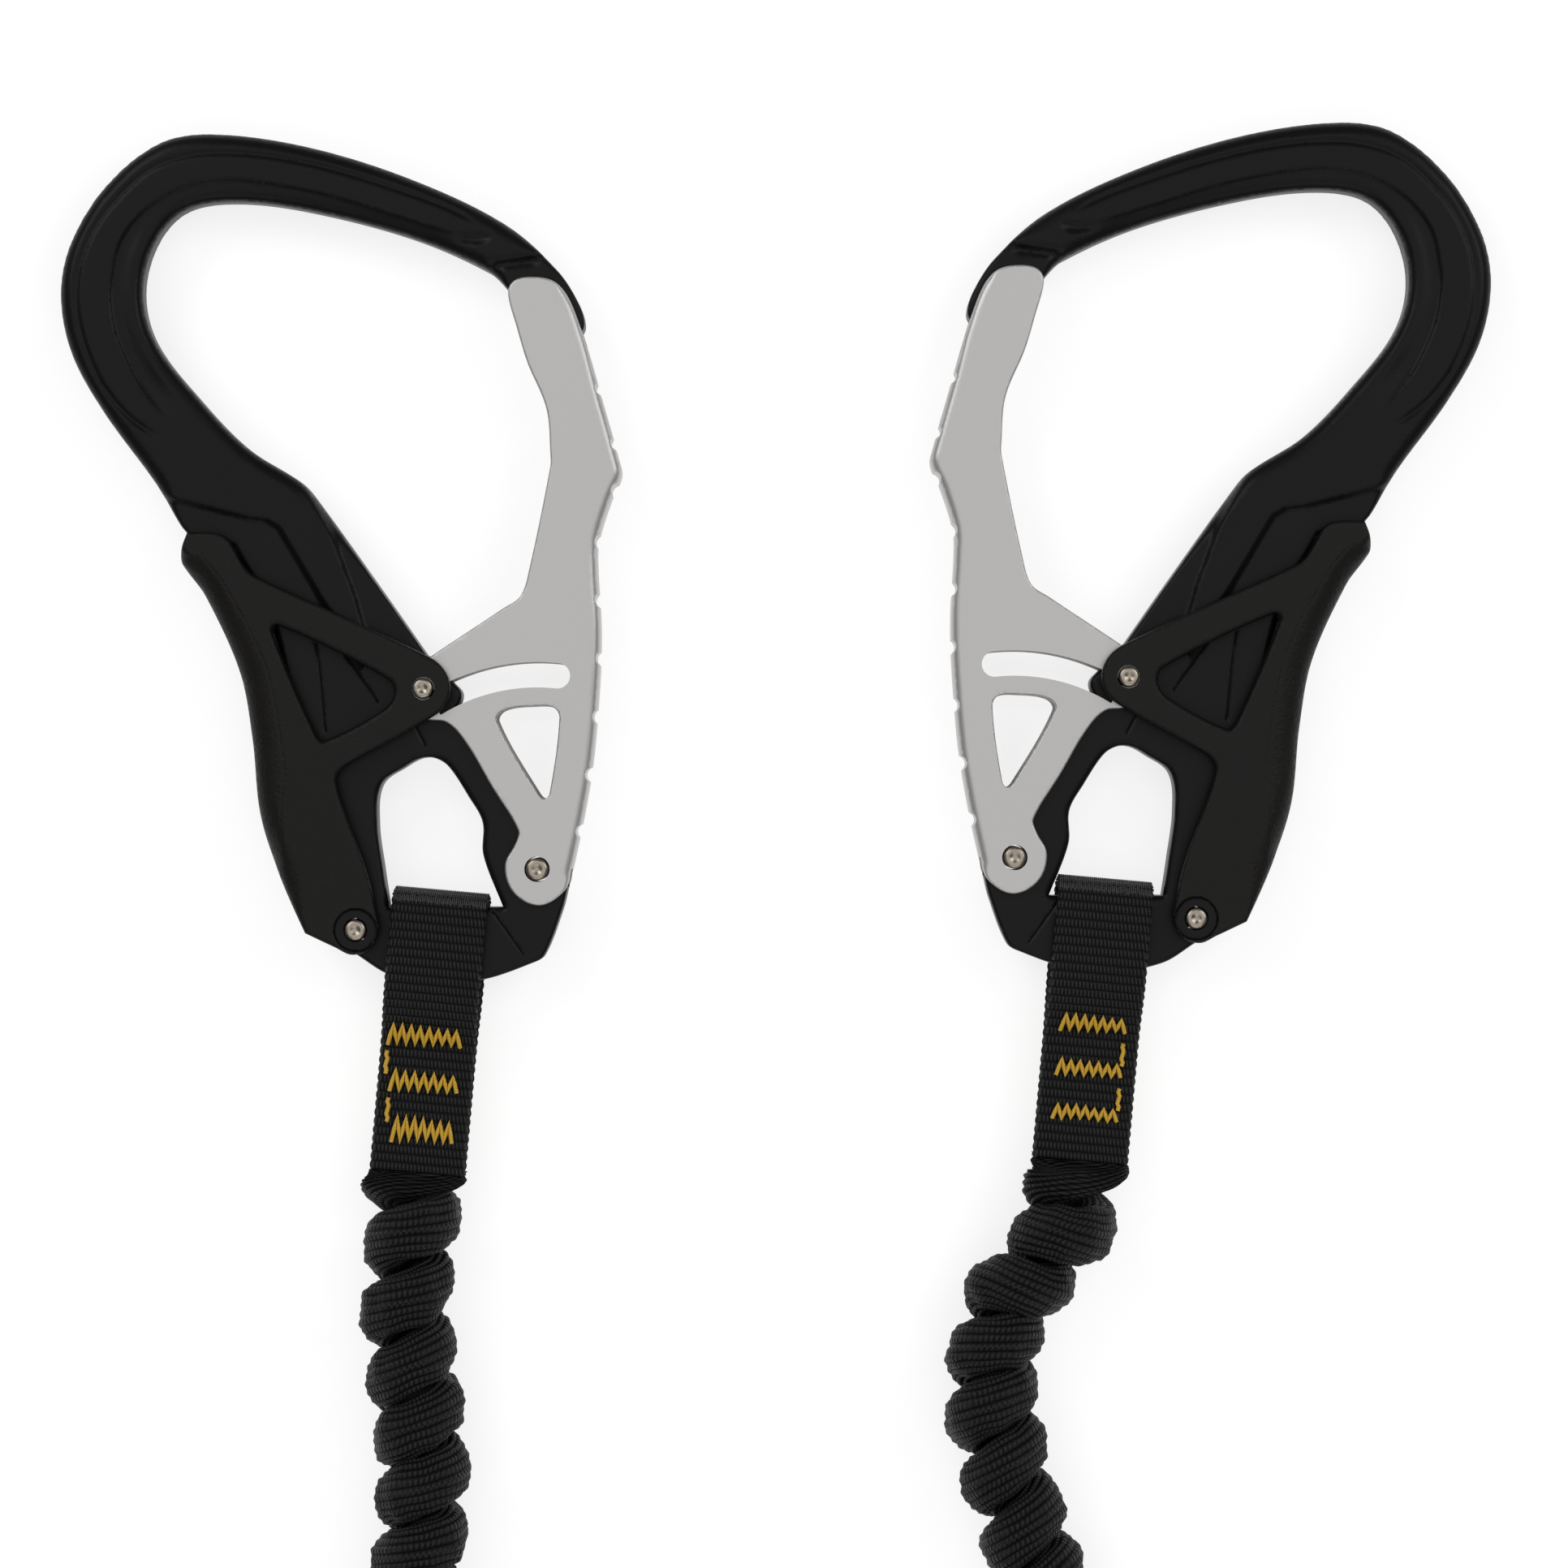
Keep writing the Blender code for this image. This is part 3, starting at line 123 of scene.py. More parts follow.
# One side of the sewn loop's outer surface: places along it and heights over its middle plane
LOOP_SURFACE = (
    (-0.0545, 0.0022), (-0.0310, 0.0022), (-0.0265, 0.0030), (-0.0210, 0.0056),
    (-0.0165, 0.0067), (-0.0006, 0.0067), (0.0019, 0.0057), (0.0031, 0.0034), (0.0035, 0.0),
)
# Rows of worn yarn at the top fold, as places along the tape from its middle
WORN_ROWS = ((0.0004, 0.0030), (0.0034, 0.0052), (0.0056, 0.0070))
WORN_PITCH = 0.00042
WORN_INSET = 0.0006
WORN_SHAKE = 0.0005
WORN_LIFT = 0.00012
WORN_RADIUS = 0.00016
# How far the tape's edges stay inside its width, their waves, their roundness and their drop
TAPE_INSET = 0.0004
TAPE_EDGE_WAVE = 0.00026
TAPE_SOFT_EDGE = 0.0008
TAPE_EDGE_DROP = 0.0007
# Height of the tape's relief, how far its face lies under its line, and its rings' distance
TAPE_RELIEF = 0.00030
TAPE_SINK = 0.00026
TAPE_STEP = 0.00030
# Unevenness of a tack's stitches, their lifts at both ends, and their raised middles
TACK_SHAKE = 0.0004
TACK_LIFTS = (0.00008, 0.00026)
TACK_RAISE = 0.00030
TACK_RUN_LIFT = 0.00025
SEAM_RADIUS = 0.00024
THREAD_SIDES = 7
CARABINER_LENGTH = 0.173
CORNER = "corner"
# How near each other, and how near an edge, the points of a relief may lie
POINT_SPACING = 0.00016
EDGE_SPACING = 0.00005
# The triangulation of a relief works in millimetres
MILLIMETRES = 1000
# How many points are measured against a line at a time
BATCH = 2000
# The bodies' outlines, from the gate's pivot, as shares of the carabiner's length
FRAME_SHARES = (
    (0.0490, 0.6335), (0.0556, 0.6440), (0.0489, 0.6686), (0.0235, 0.7077), (-0.0391, 0.7634),
    (-0.1515, 0.8172), (-0.2747, 0.8553), (-0.3871, 0.8700), (-0.4497, 0.8583), (-0.5122, 0.8074),
    (-0.5533, 0.7400), (-0.5650, 0.6794), (-0.5523, 0.6109), (-0.5152, 0.5425), (-0.4526, 0.4565),
    (-0.4223, 0.4066), (-0.4145, 0.3969, CORNER), (-0.4066, 0.3851, CORNER),
    (-0.3597, 0.3822, CORNER), (-0.3128, 0.2933), (-0.2933, 0.1906), (-0.2893, 0.0782),
    (-0.2708, 0.0000), (-0.2414, -0.0616), (-0.2346, -0.0909), (-0.2151, -0.1007, CORNER),
    (-0.1750, -0.1251), (-0.1124, -0.1359), (-0.0606, -0.1300), (-0.0068, -0.1114),
    (0.0078, -0.1026), (0.0293, -0.0479), (0.0362, -0.0200, CORNER), (0.0262, -0.0030, CORNER),
    (0.0190, 0.0200), (0.0000, 0.0280), (-0.0196, 0.0635), (-0.0665, 0.1398), (-0.0948, 0.1808),
    (-0.0899, 0.2072), (-0.1017, 0.2219), (-0.1241, 0.2444), (-0.1329, 0.2551, CORNER),
    (-0.1828, 0.3265), (-0.2630, 0.4389), (-0.2815, 0.4585), (-0.3441, 0.4985), (-0.3998, 0.5552),
    (-0.4526, 0.6237), (-0.4673, 0.6823), (-0.4526, 0.7419), (-0.4184, 0.7791), (-0.3617, 0.7898),
    (-0.2747, 0.7801), (-0.1505, 0.7478), (-0.0587, 0.7077), (-0.0342, 0.6843), (-0.0196, 0.6618),
    (0.0342, 0.6393),
)
OUTER_ROUND_POINTS = (4, 14)
INNER_ROUND_POINTS = (44, 55)
EYE_SHARES = (
    (-0.1760, -0.0450, CORNER), (-0.1828, 0.0000), (-0.1896, 0.0538), (-0.1848, 0.0997),
    (-0.1564, 0.1212), (-0.1378, 0.1310), (-0.1212, 0.1310), (-0.1056, 0.1212), (-0.0821, 0.0860),
    (-0.0655, 0.0557), (-0.0645, 0.0166), (-0.0410, -0.0450, CORNER),
)
GATE_SHARES = (
    (-0.0342, 0.6774), (-0.0303, 0.6921), (-0.0147, 0.6989), (0.0176, 0.6950), (0.0362, 0.6764),
    (0.0547, 0.6285), (0.0762, 0.5543), (0.0948, 0.4878), (0.0987, 0.4663), (0.0870, 0.4389),
    (0.0714, 0.3881), (0.0704, 0.3568), (0.0743, 0.2835), (0.0723, 0.2151), (0.0626, 0.1114),
    (0.0401, -0.0029), (0.0313, -0.0264), (0.0020, -0.0430), (-0.0283, -0.0274), (-0.0381, 0.0049),
    (-0.0254, 0.0313), (-0.0225, 0.0459), (-0.0538, 0.0978), (-0.0850, 0.1505), (-0.1065, 0.1730),
    (-0.1300, 0.1769), (-0.1505, 0.1887), (-0.1574, 0.2102), (-0.1486, 0.2336), (-0.1281, 0.2493),
    (-0.0401, 0.3079), (-0.0196, 0.3226), (-0.0088, 0.3568), (0.0156, 0.4761), (0.0156, 0.4888),
    (0.0108, 0.5435), (-0.0117, 0.5982), (-0.0244, 0.6403),
)
GATE_BEND_POINTS = (6, 15)
GATE_WINDOW_SHARES = (
    (-0.0479, 0.1750), (-0.0401, 0.1877), (-0.0049, 0.1926), (0.0196, 0.1906), (0.0264, 0.1789),
    (0.0147, 0.0890), (0.0088, 0.0831), (0.0010, 0.0890),
)
GATE_CHANNEL_SHARES = (
    (0.0313, 0.0010), (0.0538, 0.1134), (0.0635, 0.2151), (0.0655, 0.2835), (0.0616, 0.3568),
    (0.0626, 0.3920), (0.0782, 0.4418), (0.0899, 0.4663), (0.0860, 0.4858), (0.0674, 0.5523),
    (0.0479, 0.6188), (0.1300, 0.6230), (0.1300, 0.7600), (-0.1000, 0.7600), (-0.2000, 0.2000),
    (-0.1000, -0.1000), (0.1000, -0.1000), (0.1000, -0.0050),
)
# The channel's first points lie along the bend, the others close it in straight lines
CHANNEL_BEND_POINTS = 11
NOTCH_SHARES = ((0.0726, 0.5690), (0.0907, 0.5040), (0.0915, 0.4470), (0.0723, 0.3870),
                (0.0723, 0.3180), (0.0737, 0.2490), (0.0697, 0.1800), (0.0610, 0.1110),
                (0.0500, 0.0440))
LEVER_SHARES = (
    (-0.4115, 0.3969, CORNER), (-0.3754, 0.3959), (-0.3627, 0.3871), (-0.3460, 0.3587),
    (-0.3343, 0.3470), (-0.2346, 0.3011), (-0.1281, 0.2512), (-0.1095, 0.2356), (-0.1017, 0.2131),
    (-0.1085, 0.1916), (-0.1310, 0.1750), (-0.2248, 0.1222), (-0.2346, 0.1114), (-0.2356, 0.1007),
    (-0.2258, 0.0674), (-0.2004, -0.0020), (-0.1867, -0.0596), (-0.1857, -0.0733),
    (-0.1955, -0.0929), (-0.2170, -0.1007), (-0.2375, -0.0919), (-0.2727, -0.0753, CORNER),
    (-0.3030, -0.0108), (-0.3275, 0.0635), (-0.3372, 0.1544), (-0.3519, 0.2326), (-0.3920, 0.3216),
    (-0.4145, 0.3529), (-0.4203, 0.3646), (-0.4174, 0.3812),
)
LEVER_PALM_POINTS = (22, 28)
# The palm seam: places along the palm edge, and how far inside it the seam runs there
PALM_SEAM = ((0, 0.3, 0.6, 0.85, 1), (0.0016, 0.0064, 0.0058, 0.0049, 0.0043))
# The share of the edge over which seam and slope fade out, and the palm side's drop
PALM_FADE = 0.07
PALM_DROP = 0.0012
SEAM_DEPTH = 0.00014
SEAM_HALF = 0.00022
LEVER_WINDOW_SHARES = (
    (-0.3053, 0.2880), (-0.3117, 0.2805), (-0.2594, 0.1574), (-0.2493, 0.1515), (-0.1799, 0.1887),
    (-0.1681, 0.2063), (-0.1750, 0.2239),
)
LEVER_HOLLOW_SHARES = (
    (-0.2522, -0.1320), (-0.2581, -0.0616), (-0.2864, -0.0039), (-0.3001, 0.0313),
    (-0.3099, 0.0655), (-0.3157, 0.1134), (-0.3196, 0.1564), (-0.3245, 0.1955), (-0.3343, 0.2375),
    (-0.3490, 0.2786), (-0.3744, 0.3294), (-0.3988, 0.3597), (-0.4500, 0.3660), (-0.4500, 0.4400),
    (-0.0500, 0.4400), (-0.0500, -0.1320),
)
LEVER_ARM_HOLLOW_SHARES = (
    (-0.2650, -0.1320), (-0.2688, 0.0538), (-0.2757, 0.1222), (-0.2815, 0.1808),
    (-0.3011, 0.2590), (-0.3167, 0.3177), (-0.3206, 0.4154), (-0.0500, 0.4154),
    (-0.0500, -0.1320),
)
LOW_FACE_SHARES = (
    (-0.4692, 0.4467), (-0.4291, 0.4360), (-0.3431, 0.4145), (-0.3206, 0.4115), (-0.3060, 0.4027),
    (-0.2454, 0.3011), (-0.2072, 0.2375), (-0.1994, 0.2688), (-0.2151, 0.3226), (-0.2424, 0.3959),
    (-0.2698, 0.4516), (-0.2250, 0.4650), (-0.0200, 0.3350), (0.1200, 0.1600), (0.1200, -0.2000),
    (-0.6000, -0.2000), (-0.6000, 0.4467),
)
NOSE_FACE_SHARES = (
    (-0.0684, 0.6970), (-0.0469, 0.7146), (-0.0196, 0.7185), (0.0293, 0.7302), (0.1300, 0.7302),
    (0.1300, 0.5700), (-0.0684, 0.5700),
)
OUTER_GROOVE_SHARES = (
    (-0.0665, 0.7595), (-0.0978, 0.7771), (-0.1505, 0.7977), (-0.2434, 0.8270), (-0.3216, 0.8426),
    (-0.3871, 0.8456), (-0.4311, 0.8377), (-0.4624, 0.8231), (-0.4936, 0.7947), (-0.5210, 0.7605),
    (-0.5386, 0.7204), (-0.5445, 0.6794), (-0.5415, 0.6452), (-0.5308, 0.6080), (-0.5122, 0.5699),
    (-0.4839, 0.5357), (-0.4418, 0.5054),
)
INNER_GROOVE_SHARES = (
    (-0.0547, 0.7458), (-0.0978, 0.7537), (-0.1505, 0.7693), (-0.2434, 0.7977), (-0.3216, 0.8133),
    (-0.3685, 0.8172), (-0.4115, 0.8104), (-0.4467, 0.7947), (-0.4770, 0.7693), (-0.4966, 0.7390),
    (-0.5054, 0.7009), (-0.5073, 0.6764), (-0.5024, 0.6393), (-0.4897, 0.6041), (-0.4682, 0.5640),
    (-0.4282, 0.5152),
)
# Narrow creases of the face, and the two flutes near its nose
CREASE_SHARES = (
    ((-0.2624, 0.2709), (-0.2565, 0.2174), (-0.2512, 0.1594)),
    ((-0.2277, 0.2554), (-0.1875, 0.1951)),
    ((-0.1480, 0.1736), (-0.1317, 0.1434)),
    ((-0.0554, -0.0477), (-0.0162, -0.1032)),
)
FLUTE_SHARES = (
    ((-0.1010, 0.7500), (-0.0765, 0.7440), (-0.0500, 0.7500)),
    ((-0.0620, 0.7150), (-0.0280, 0.7175), (0.0080, 0.7205)),
)
# Depth, half width and length of the fading ends
OUTER_GROOVE = (0.00042, 0.00055, 0.006)
CREASE = (0.00030, 0.00028, 0.0006)
FLUTE = (0.00065, 0.0011, 0.003)
# The slope down to the lower faces: how far outside their line it starts, and its width
SLOPE_START = 0.0007
SLOPE_WIDTH = 0.0016
# The hollow land beside the inner groove: its width, its depth, and the width of its rise
LAND_WIDTH = 0.0056
LAND_DEPTH = 0.00085
LAND_RISE = 0.0008
LAND_FADE_POINTS = 24
# Distances from a feature's line at which the relief has rows of points
GROOVE_ROWS = (0.0003, 0.0007, 0.0012)
LAND_ROWS = (-0.0006, -0.0002, 0.0002, 0.0006, 0.0011, 0.0017, 0.0026, 0.0036, 0.0048)
SLOPE_ROWS = (0.0005, 0.0009)
CREASE_ROWS = (0.0002, 0.0004)
FLUTE_ROWS = (0.0008, 0.0016)
SEAM_ROWS = (0.00018, 0.0004)
SEAT_RINGS = (0.0041, 0.0043, 0.0045, 0.0048)
# Distances between the points of edges and lines, and of the reliefs' inner lattices
EDGE_STEP = 0.0006
FINE_STEP = 0.0005
SLOPE_STEP = 0.0007
CHANNEL_STEP = 0.001
HOOK_GRID = 0.0011
GATE_GRID = 0.0020
LEVER_GRID = 0.0012
# Width and drop of each rounded edge, or those of its plain parts and of its full ones
FRAME_ROUNDING = ((0.0010, 0.0009), (0.0034, 0.0031))
EYE_ROUNDING = (0.0017, 0.0012)
BORE_ROUNDING = (0.0002, 0.0002)
GATE_ROUNDING = ((0.0005, 0.0004), (0.0021, 0.0019))
GATE_WINDOW_ROUNDING = (0.00035, 0.0003)
LEVER_ROUNDING = ((0.0009, 0.0008), (0.0052, 0.0034))
LEVER_WINDOW_ROUNDING = (0.0012, 0.0010)
# The most that the gate's bend may drop at its ends, and how much more at its web
BEND_DROP = (0.0013, 0.0006)
# Angles in degrees from which an edge is shaded as sharp
HOOK_SHARP = 42
GATE_SHARP = 62
LEVER_SHARP = 42
LEVER_PIVOT_SHARES = (-0.2131, -0.0714)
LATCH_SHARES = (-0.1339, 0.2131)
FRAME_HALF = 0.00525
LOW_FACE_HALF = 0.0042
SPRING_WAY_RADIUS = 0.0038
SPRING_WAY_HALF = 0.0023
SPRING_WAY_REACH = 0.012
GATE_HALF = 0.0060
GATE_CHANNEL_HALF = 0.0045
GATE_BORE_RADIUS = 0.0026
SLOT_RADIUS_SHARE = 0.2295
SLOT_HALF_WIDTH = 0.0026
SLOT_ANGLES = (math.radians(84), math.radians(122))
NOTCH_RADIUS = 0.0016
NOTCH_INSET = 0.0008
LEVER_HALF = 0.0083
LEVER_HOLLOW_HALF = 0.0045
LEVER_ARM_HOLLOW_HALF = 0.0063
LEVER_BORE_RADIUS = 0.0025
SEAT_RADIUS = 0.0042
SEAT_DEPTH = 0.0005
SEAT_WALL = 0.0004
LATCH_BORE_RADIUS = 0.0024
# How far the cutters of through holes reach to either side of the middle plane
GATE_CUT = 0.010
LEVER_CUT = 0.012
GATE_RIVET_RADIUS = 0.0023
LEVER_RIVET_RADIUS = 0.0022
LATCH_RIVET_RADIUS = 0.0021
TEAR_LAYERS = 7
TEAR_THICKNESS = 0.0021
TEAR_RIB = 0.0018
CLOTH_YARN = 0.0011
SLEEVE_RADIUS = 0.0090
SLEEVE_WALL = 0.0016
SLEEVE_SIDES = 132
SLEEVE_ROWS = 120
# How far the sleeve's cloth stands out at its hems, its middle, its lap and its creases
HEM_LIFT = 0.00045
SWELL_LIFT = 0.0011
LAP_LIFT = 0.0005
CREASE_LIFT = 0.0005
# The sink of its lips, the width of that and of the lap's step, and the lap's half width
LIP_SINK = 0.0005
CLOTH_STEP = 0.0006
LAP_HALF = 0.0066
# Where the hems' seams run as shares of its length, and the lap's seams across it
HEM_SEAMS = (0.022, 0.056, 0.944, 0.978)
LAP_SEAMS = (-0.0050, 0.0050)
LAP_SEAM_START = 9
# Length, middle height and thickness of the core sewn into the harness loop, as shares of
# the loop's length and of half its mouth
HARNESS_CORE_SHARES = (0.14, 0.15, 0.27)
# Its tacks: places as shares of its length, half width, half height and number of stitches
HARNESS_TACK_SHARES = (0.045, 0.118)
HARNESS_TACK = (0.0080, 0.0015, 18)
# Length, gap and lift of the sleeve's stitches, and the steps of a stitch with its gap
STITCH = (0.0026, 0.0008, 0.00022)
STITCH_STEPS = 8
STRAP_RELIEF = 0.00022
# Gold tacks, top to bottom: middle, place along the loop, half width and half height
TACKS = {
    "left": ((-0.0008, -0.0264, 0.0074, 0.0021), (-0.0002, -0.0359, 0.0069, 0.0021),
             (0.0004, -0.0457, 0.0062, 0.0027)),
    "right": ((0.0000, -0.0262, 0.0066, 0.0017), (0.0000, -0.0355, 0.0066, 0.0016),
              (0.0000, -0.0446, 0.0066, 0.0015)),
}


# Small makers of meshes


def linked(name, data):
    """An object in the scene."""
    made = bpy.data.objects.new(name, data)
    bpy.context.scene.collection.objects.link(made)
    return made


def object_of(name, mesh, material):
    made = linked(name, mesh)
    mesh.materials.clear()
    mesh.materials.append(material)
    return made


def shown(made, body, node=None):
    """Gives a piece its body, and hides the CAD node that it stands for."""
    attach(made, body)
    if node:
        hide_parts(node)


def plain_mesh(made, name):
    """The piece's mesh with its modifiers applied."""
    bpy.context.view_layer.update()
    graph = bpy.context.evaluated_depsgraph_get()
    mesh = bpy.data.meshes.new_from_object(made.evaluated_get(graph))
    mesh.name = name
    return mesh


def mesh_of(name, points, faces, uvs=None, smooth=True, sharp=None):
    mesh = bpy.data.meshes.new(name)
    mesh.from_pydata([tuple(p) for p in points], [], faces)
    if uvs:
        layer = mesh.uv_layers.new(name="weave")
        layer.data.foreach_set("uv", [value for face in uvs for spot in face for value in spot])
    for face in mesh.polygons:
        face.use_smooth = smooth
    if sharp:
        mesh.set_sharp_from_angle(angle=math.radians(sharp))
    mesh.update()
    return mesh


def closed_mesh(*values, **options):
    """A mesh of a closed body, with its doubled points merged and its faces outwards."""
    mesh = mesh_of(*values, **options)
    shape = bmesh.new()
    shape.from_mesh(mesh)
    bmesh.ops.remove_doubles(shape, verts=shape.verts, dist=1e-6)
    bmesh.ops.recalc_face_normals(shape, faces=shape.faces)
    shape.to_mesh(mesh)
    shape.free()
    mesh.update()
    return mesh


def ring_faces(rings, sides):
    """Quads over a row of closed rings."""
    return [
        (r * sides + c, r * sides + (c + 1) % sides,
         (r + 1) * sides + (c + 1) % sides, (r + 1) * sides + c)
        for r in range(rings - 1) for c in range(sides)
    ]


def end_faces(rings, sides):
    """Faces that close the first ring and the last one."""
    return [tuple(range(sides))[::-1], tuple(range((rings - 1) * sides, rings * sides))]


def ring_uvs(rings, sides, along, around):
    """Weave coordinates of the quads between rings: along(ring), around(ring, side)."""
    return [
        ((around(r, c), along(r)), (around(r, c + 1), along(r)),
         (around(r, c + 1), along(r + 1)), (around(r, c), along(r + 1)))
        for r in range(rings) for c in range(sides)
    ]


def smooth_line(points, steps_over, closed=False):
    """A smooth line through noted points, with steps_over(span) steps to each span. It also
    gives each sample's place in the table as a whole number and a share."""
    count = len(points)
    line, places = [], []
    for index in range(count if closed else count - 1):
        here, here_corner = points[index]
        there, there_corner = points[(index + 1) % count]
        before = points[index - 1][0] if index or closed else here
        after = points[(index + 2) % count][0] if index + 2 < count or closed else there
        span = (there - here).length
        out = (there - here) if here_corner else (there - before)
        back = (here - there) if there_corner else (here - after)
        out, back = here + out.normalized() * (span / 3), there + back.normalized() * (span / 3)
        steps = steps_over(span)
        for share in (step / steps for step in range(steps)):
            near = 1 - share
            line.append(here * near**3 + out * 3 * near**2 * share
                        + back * 3 * near * share**2 + there * share**3)
            places.append(index + share)
    if not closed:
        line.append(points[-1][0])
        places.append(count - 1)
    return line, places


def smooth_points(points, steps):
    return smooth_line([(Vector(p), False) for p in points], lambda span: steps)[0]


def lengths_of(line):
    found = [0.0]
    for here, there in zip(line, line[1:]):
        found.append(found[-1] + (there - here).length)
    return found


def place_along(line, lengths, distance):
    """The place at a distance along the line, and the line's direction there."""
    index = min(max(bisect_right(lengths, distance) - 1, 0), len(lengths) - 2)
    here, there = line[index], line[index + 1]
    share = (distance - lengths[index]) / (lengths[index + 1] - lengths[index])
    return here.lerp(there, share), (there - here).normalized()


def even_points(line, count):
    """The line again, in equal steps."""
    lengths = lengths_of(line)
    return [place_along(line, lengths, lengths[-1] * step / (count - 1))[0]
            for step in range(count)]


def ring_line(centre, radius, sides):
    return [centre + Vector((radius * math.cos(turn), radius * math.sin(turn)))
            for turn in (2 * math.pi * i / sides for i in range(sides))]


def turned_mesh(name, profile, sides, place):
    """A body turned about Z from (radius, height) pairs, closed at both ends."""
    points = [place + Vector((*spot, height)) for radius, height in profile
              for spot in ring_line(Vector((0, 0)), radius, sides)]
    faces = ring_faces(len(profile), sides) + end_faces(len(profile), sides)
    return closed_mesh(name, points, faces, sharp=40)


def prism(name, line, low, high):
    """A cutter that stands on the closed line."""
    points = [(p[0], p[1], z) for z in (low, high) for p in line]
    count = len(line)
    return closed_mesh(name, points, end_faces(2, count) + ring_faces(2, count), smooth=False)


# Outlines and heights of the carabiner's bodies


def sized(shares):
    """The points of a share table in metres, each with its note on a corner."""
    return [(Vector(row[:2]) * CARABINER_LENGTH, CORNER in row) for row in shares]


def sized_line(shares):
    """The points of a share table in metres, as the corners of a plain line."""
    return [place for place, _ in sized(shares)]


def pairs(points):
    return np.array([tuple(p) for p in points])


def fine_line(points, step, closed=True):
    """A smooth line through noted points, about a step apart, and its samples' places."""
    line, places = smooth_line(points, lambda span: max(2, math.ceil(span / step)), closed)
    return pairs(line), np.array(places)


def open_line(shares, step):
    return fine_line(sized(shares), step, closed=False)[0]


def nearest(points, line, closed):
    """For each point: its distance to the line, the segment and the share along it that lie
    nearest, and the side on which the point lies."""
    ends = np.roll(line, -1, axis=0) if closed else line[1:]
    starts = line if closed else line[:-1]
    along = ends - starts
    squares = np.maximum((along**2).sum(axis=1), 1e-18)
    found = []
    for first in range(0, len(points), BATCH):
        away = points[first:first + BATCH, None, :] - starts[None]
        share = np.clip((away * along).sum(axis=2) / squares, 0, 1)
        rest = away - share[..., None] * along
        far = (rest**2).sum(axis=2)
        best = far.argmin(axis=1)
        row = np.arange(len(best))
        side = along[best, 0] * away[row, best, 1] - along[best, 1] * away[row, best, 0]
        found.append(np.stack((np.sqrt(far[row, best]), best, share[row, best],
                               np.sign(side)), axis=1))
    return np.concatenate(found).T


def inside(points, line):
    """Whether each point lies within the closed line."""
    crossings = np.zeros(len(points), dtype=int)
    for (x0, y0), (x1, y1) in zip(line, np.roll(line, -1, axis=0)):
        spans = (y0 > points[:, 1]) != (y1 > points[:, 1])
        if y0 != y1:
            at = x0 + (points[:, 1] - y0) * (x1 - x0) / (y1 - y0)
            crossings += spans & (points[:, 0] < at)
    return crossings % 2 == 1


def on_body(points, borders):
    """Whether each point lies within the first border and outside the others."""
    kept = inside(points, borders[0])
    for hole in borders[1:]:
        kept &= ~inside(points, hole)
    return kept


def smooth_share(values):
    values = np.clip(values, 0, 1)
    return values * values * (3 - 2 * values)


def share_between(places, first, last):
    """One between two of a table's points, falling to none at their neighbours."""
    return smooth_share(places - first + 1) * smooth_share(last + 1 - places)


def sideways(line, closed):
    """The direction to the left of the line at each of its points."""
    if closed:
        ahead = np.roll(line, -1, axis=0) - np.roll(line, 1, axis=0)
    else:
        ahead = np.gradient(line, axis=0)
    side = np.stack((-ahead[:, 1], ahead[:, 0]), axis=1)
    return side / np.maximum(np.linalg.norm(side, axis=1, keepdims=True), 1e-12)


def beside(line, offsets, closed):
    """Rows of points that run beside the line at the offsets."""
    side = sideways(line, closed)
    return np.concatenate([line + side * offset for offset in offsets])


def either_side(*offsets):
    return (*[-offset for offset in offsets[::-1]], 0, *offsets)


def thinned(points, spacing, fixed):
    """The points less those that crowd an earlier one or a fixed one."""
    taken = {(x, y) for x, y in np.round(fixed / spacing).astype(int)}
    kept = []
    for point in points:
        key = (round(point[0] / spacing), round(point[1] / spacing))
        if key not in taken:
            taken.add(key)
            kept.append(point)
    return np.array(kept)


class Rim:
    """A closed edge of a relief, with the width and the drop of its rounding at each sample."""

    def __init__(self, points, step, rounding, hole=False):
        self.line, places = fine_line(points, step)
        self.hole = hole
        self.width, self.drop = rounding(places)

    def lowered(self, points, heights):
        """The heights, lowered by the rounding."""
        distance, segment, share, _ = nearest(points, self.line, True)
        segment = segment.astype(int)
        after = (segment + 1) % len(self.line)
        width = self.width[segment] * (1 - share) + self.width[after] * share
        drop = self.drop[segment] * (1 - share) + self.drop[after] * share
        near = 1 - np.clip(distance / width, 0, 1)
        return heights - drop * (1 - np.sqrt(np.maximum(0, 1 - near**2)))

    def rows(self):
        """Rows of points over the rounding."""
        line, ahead = self.line, np.roll(self.line, -1, axis=0)
        leftwards = (ahead[:, 1] * line[:, 0] - ahead[:, 0] * line[:, 1]).sum() > 0
        inward = sideways(line, True) * (1 if leftwards != self.hole else -1)
        return np.concatenate([
            line + inward * (self.width * (1 - math.cos(math.radians(angle))))[:, None]
            for angle in (12, 24, 36, 48, 60, 75, 90)])


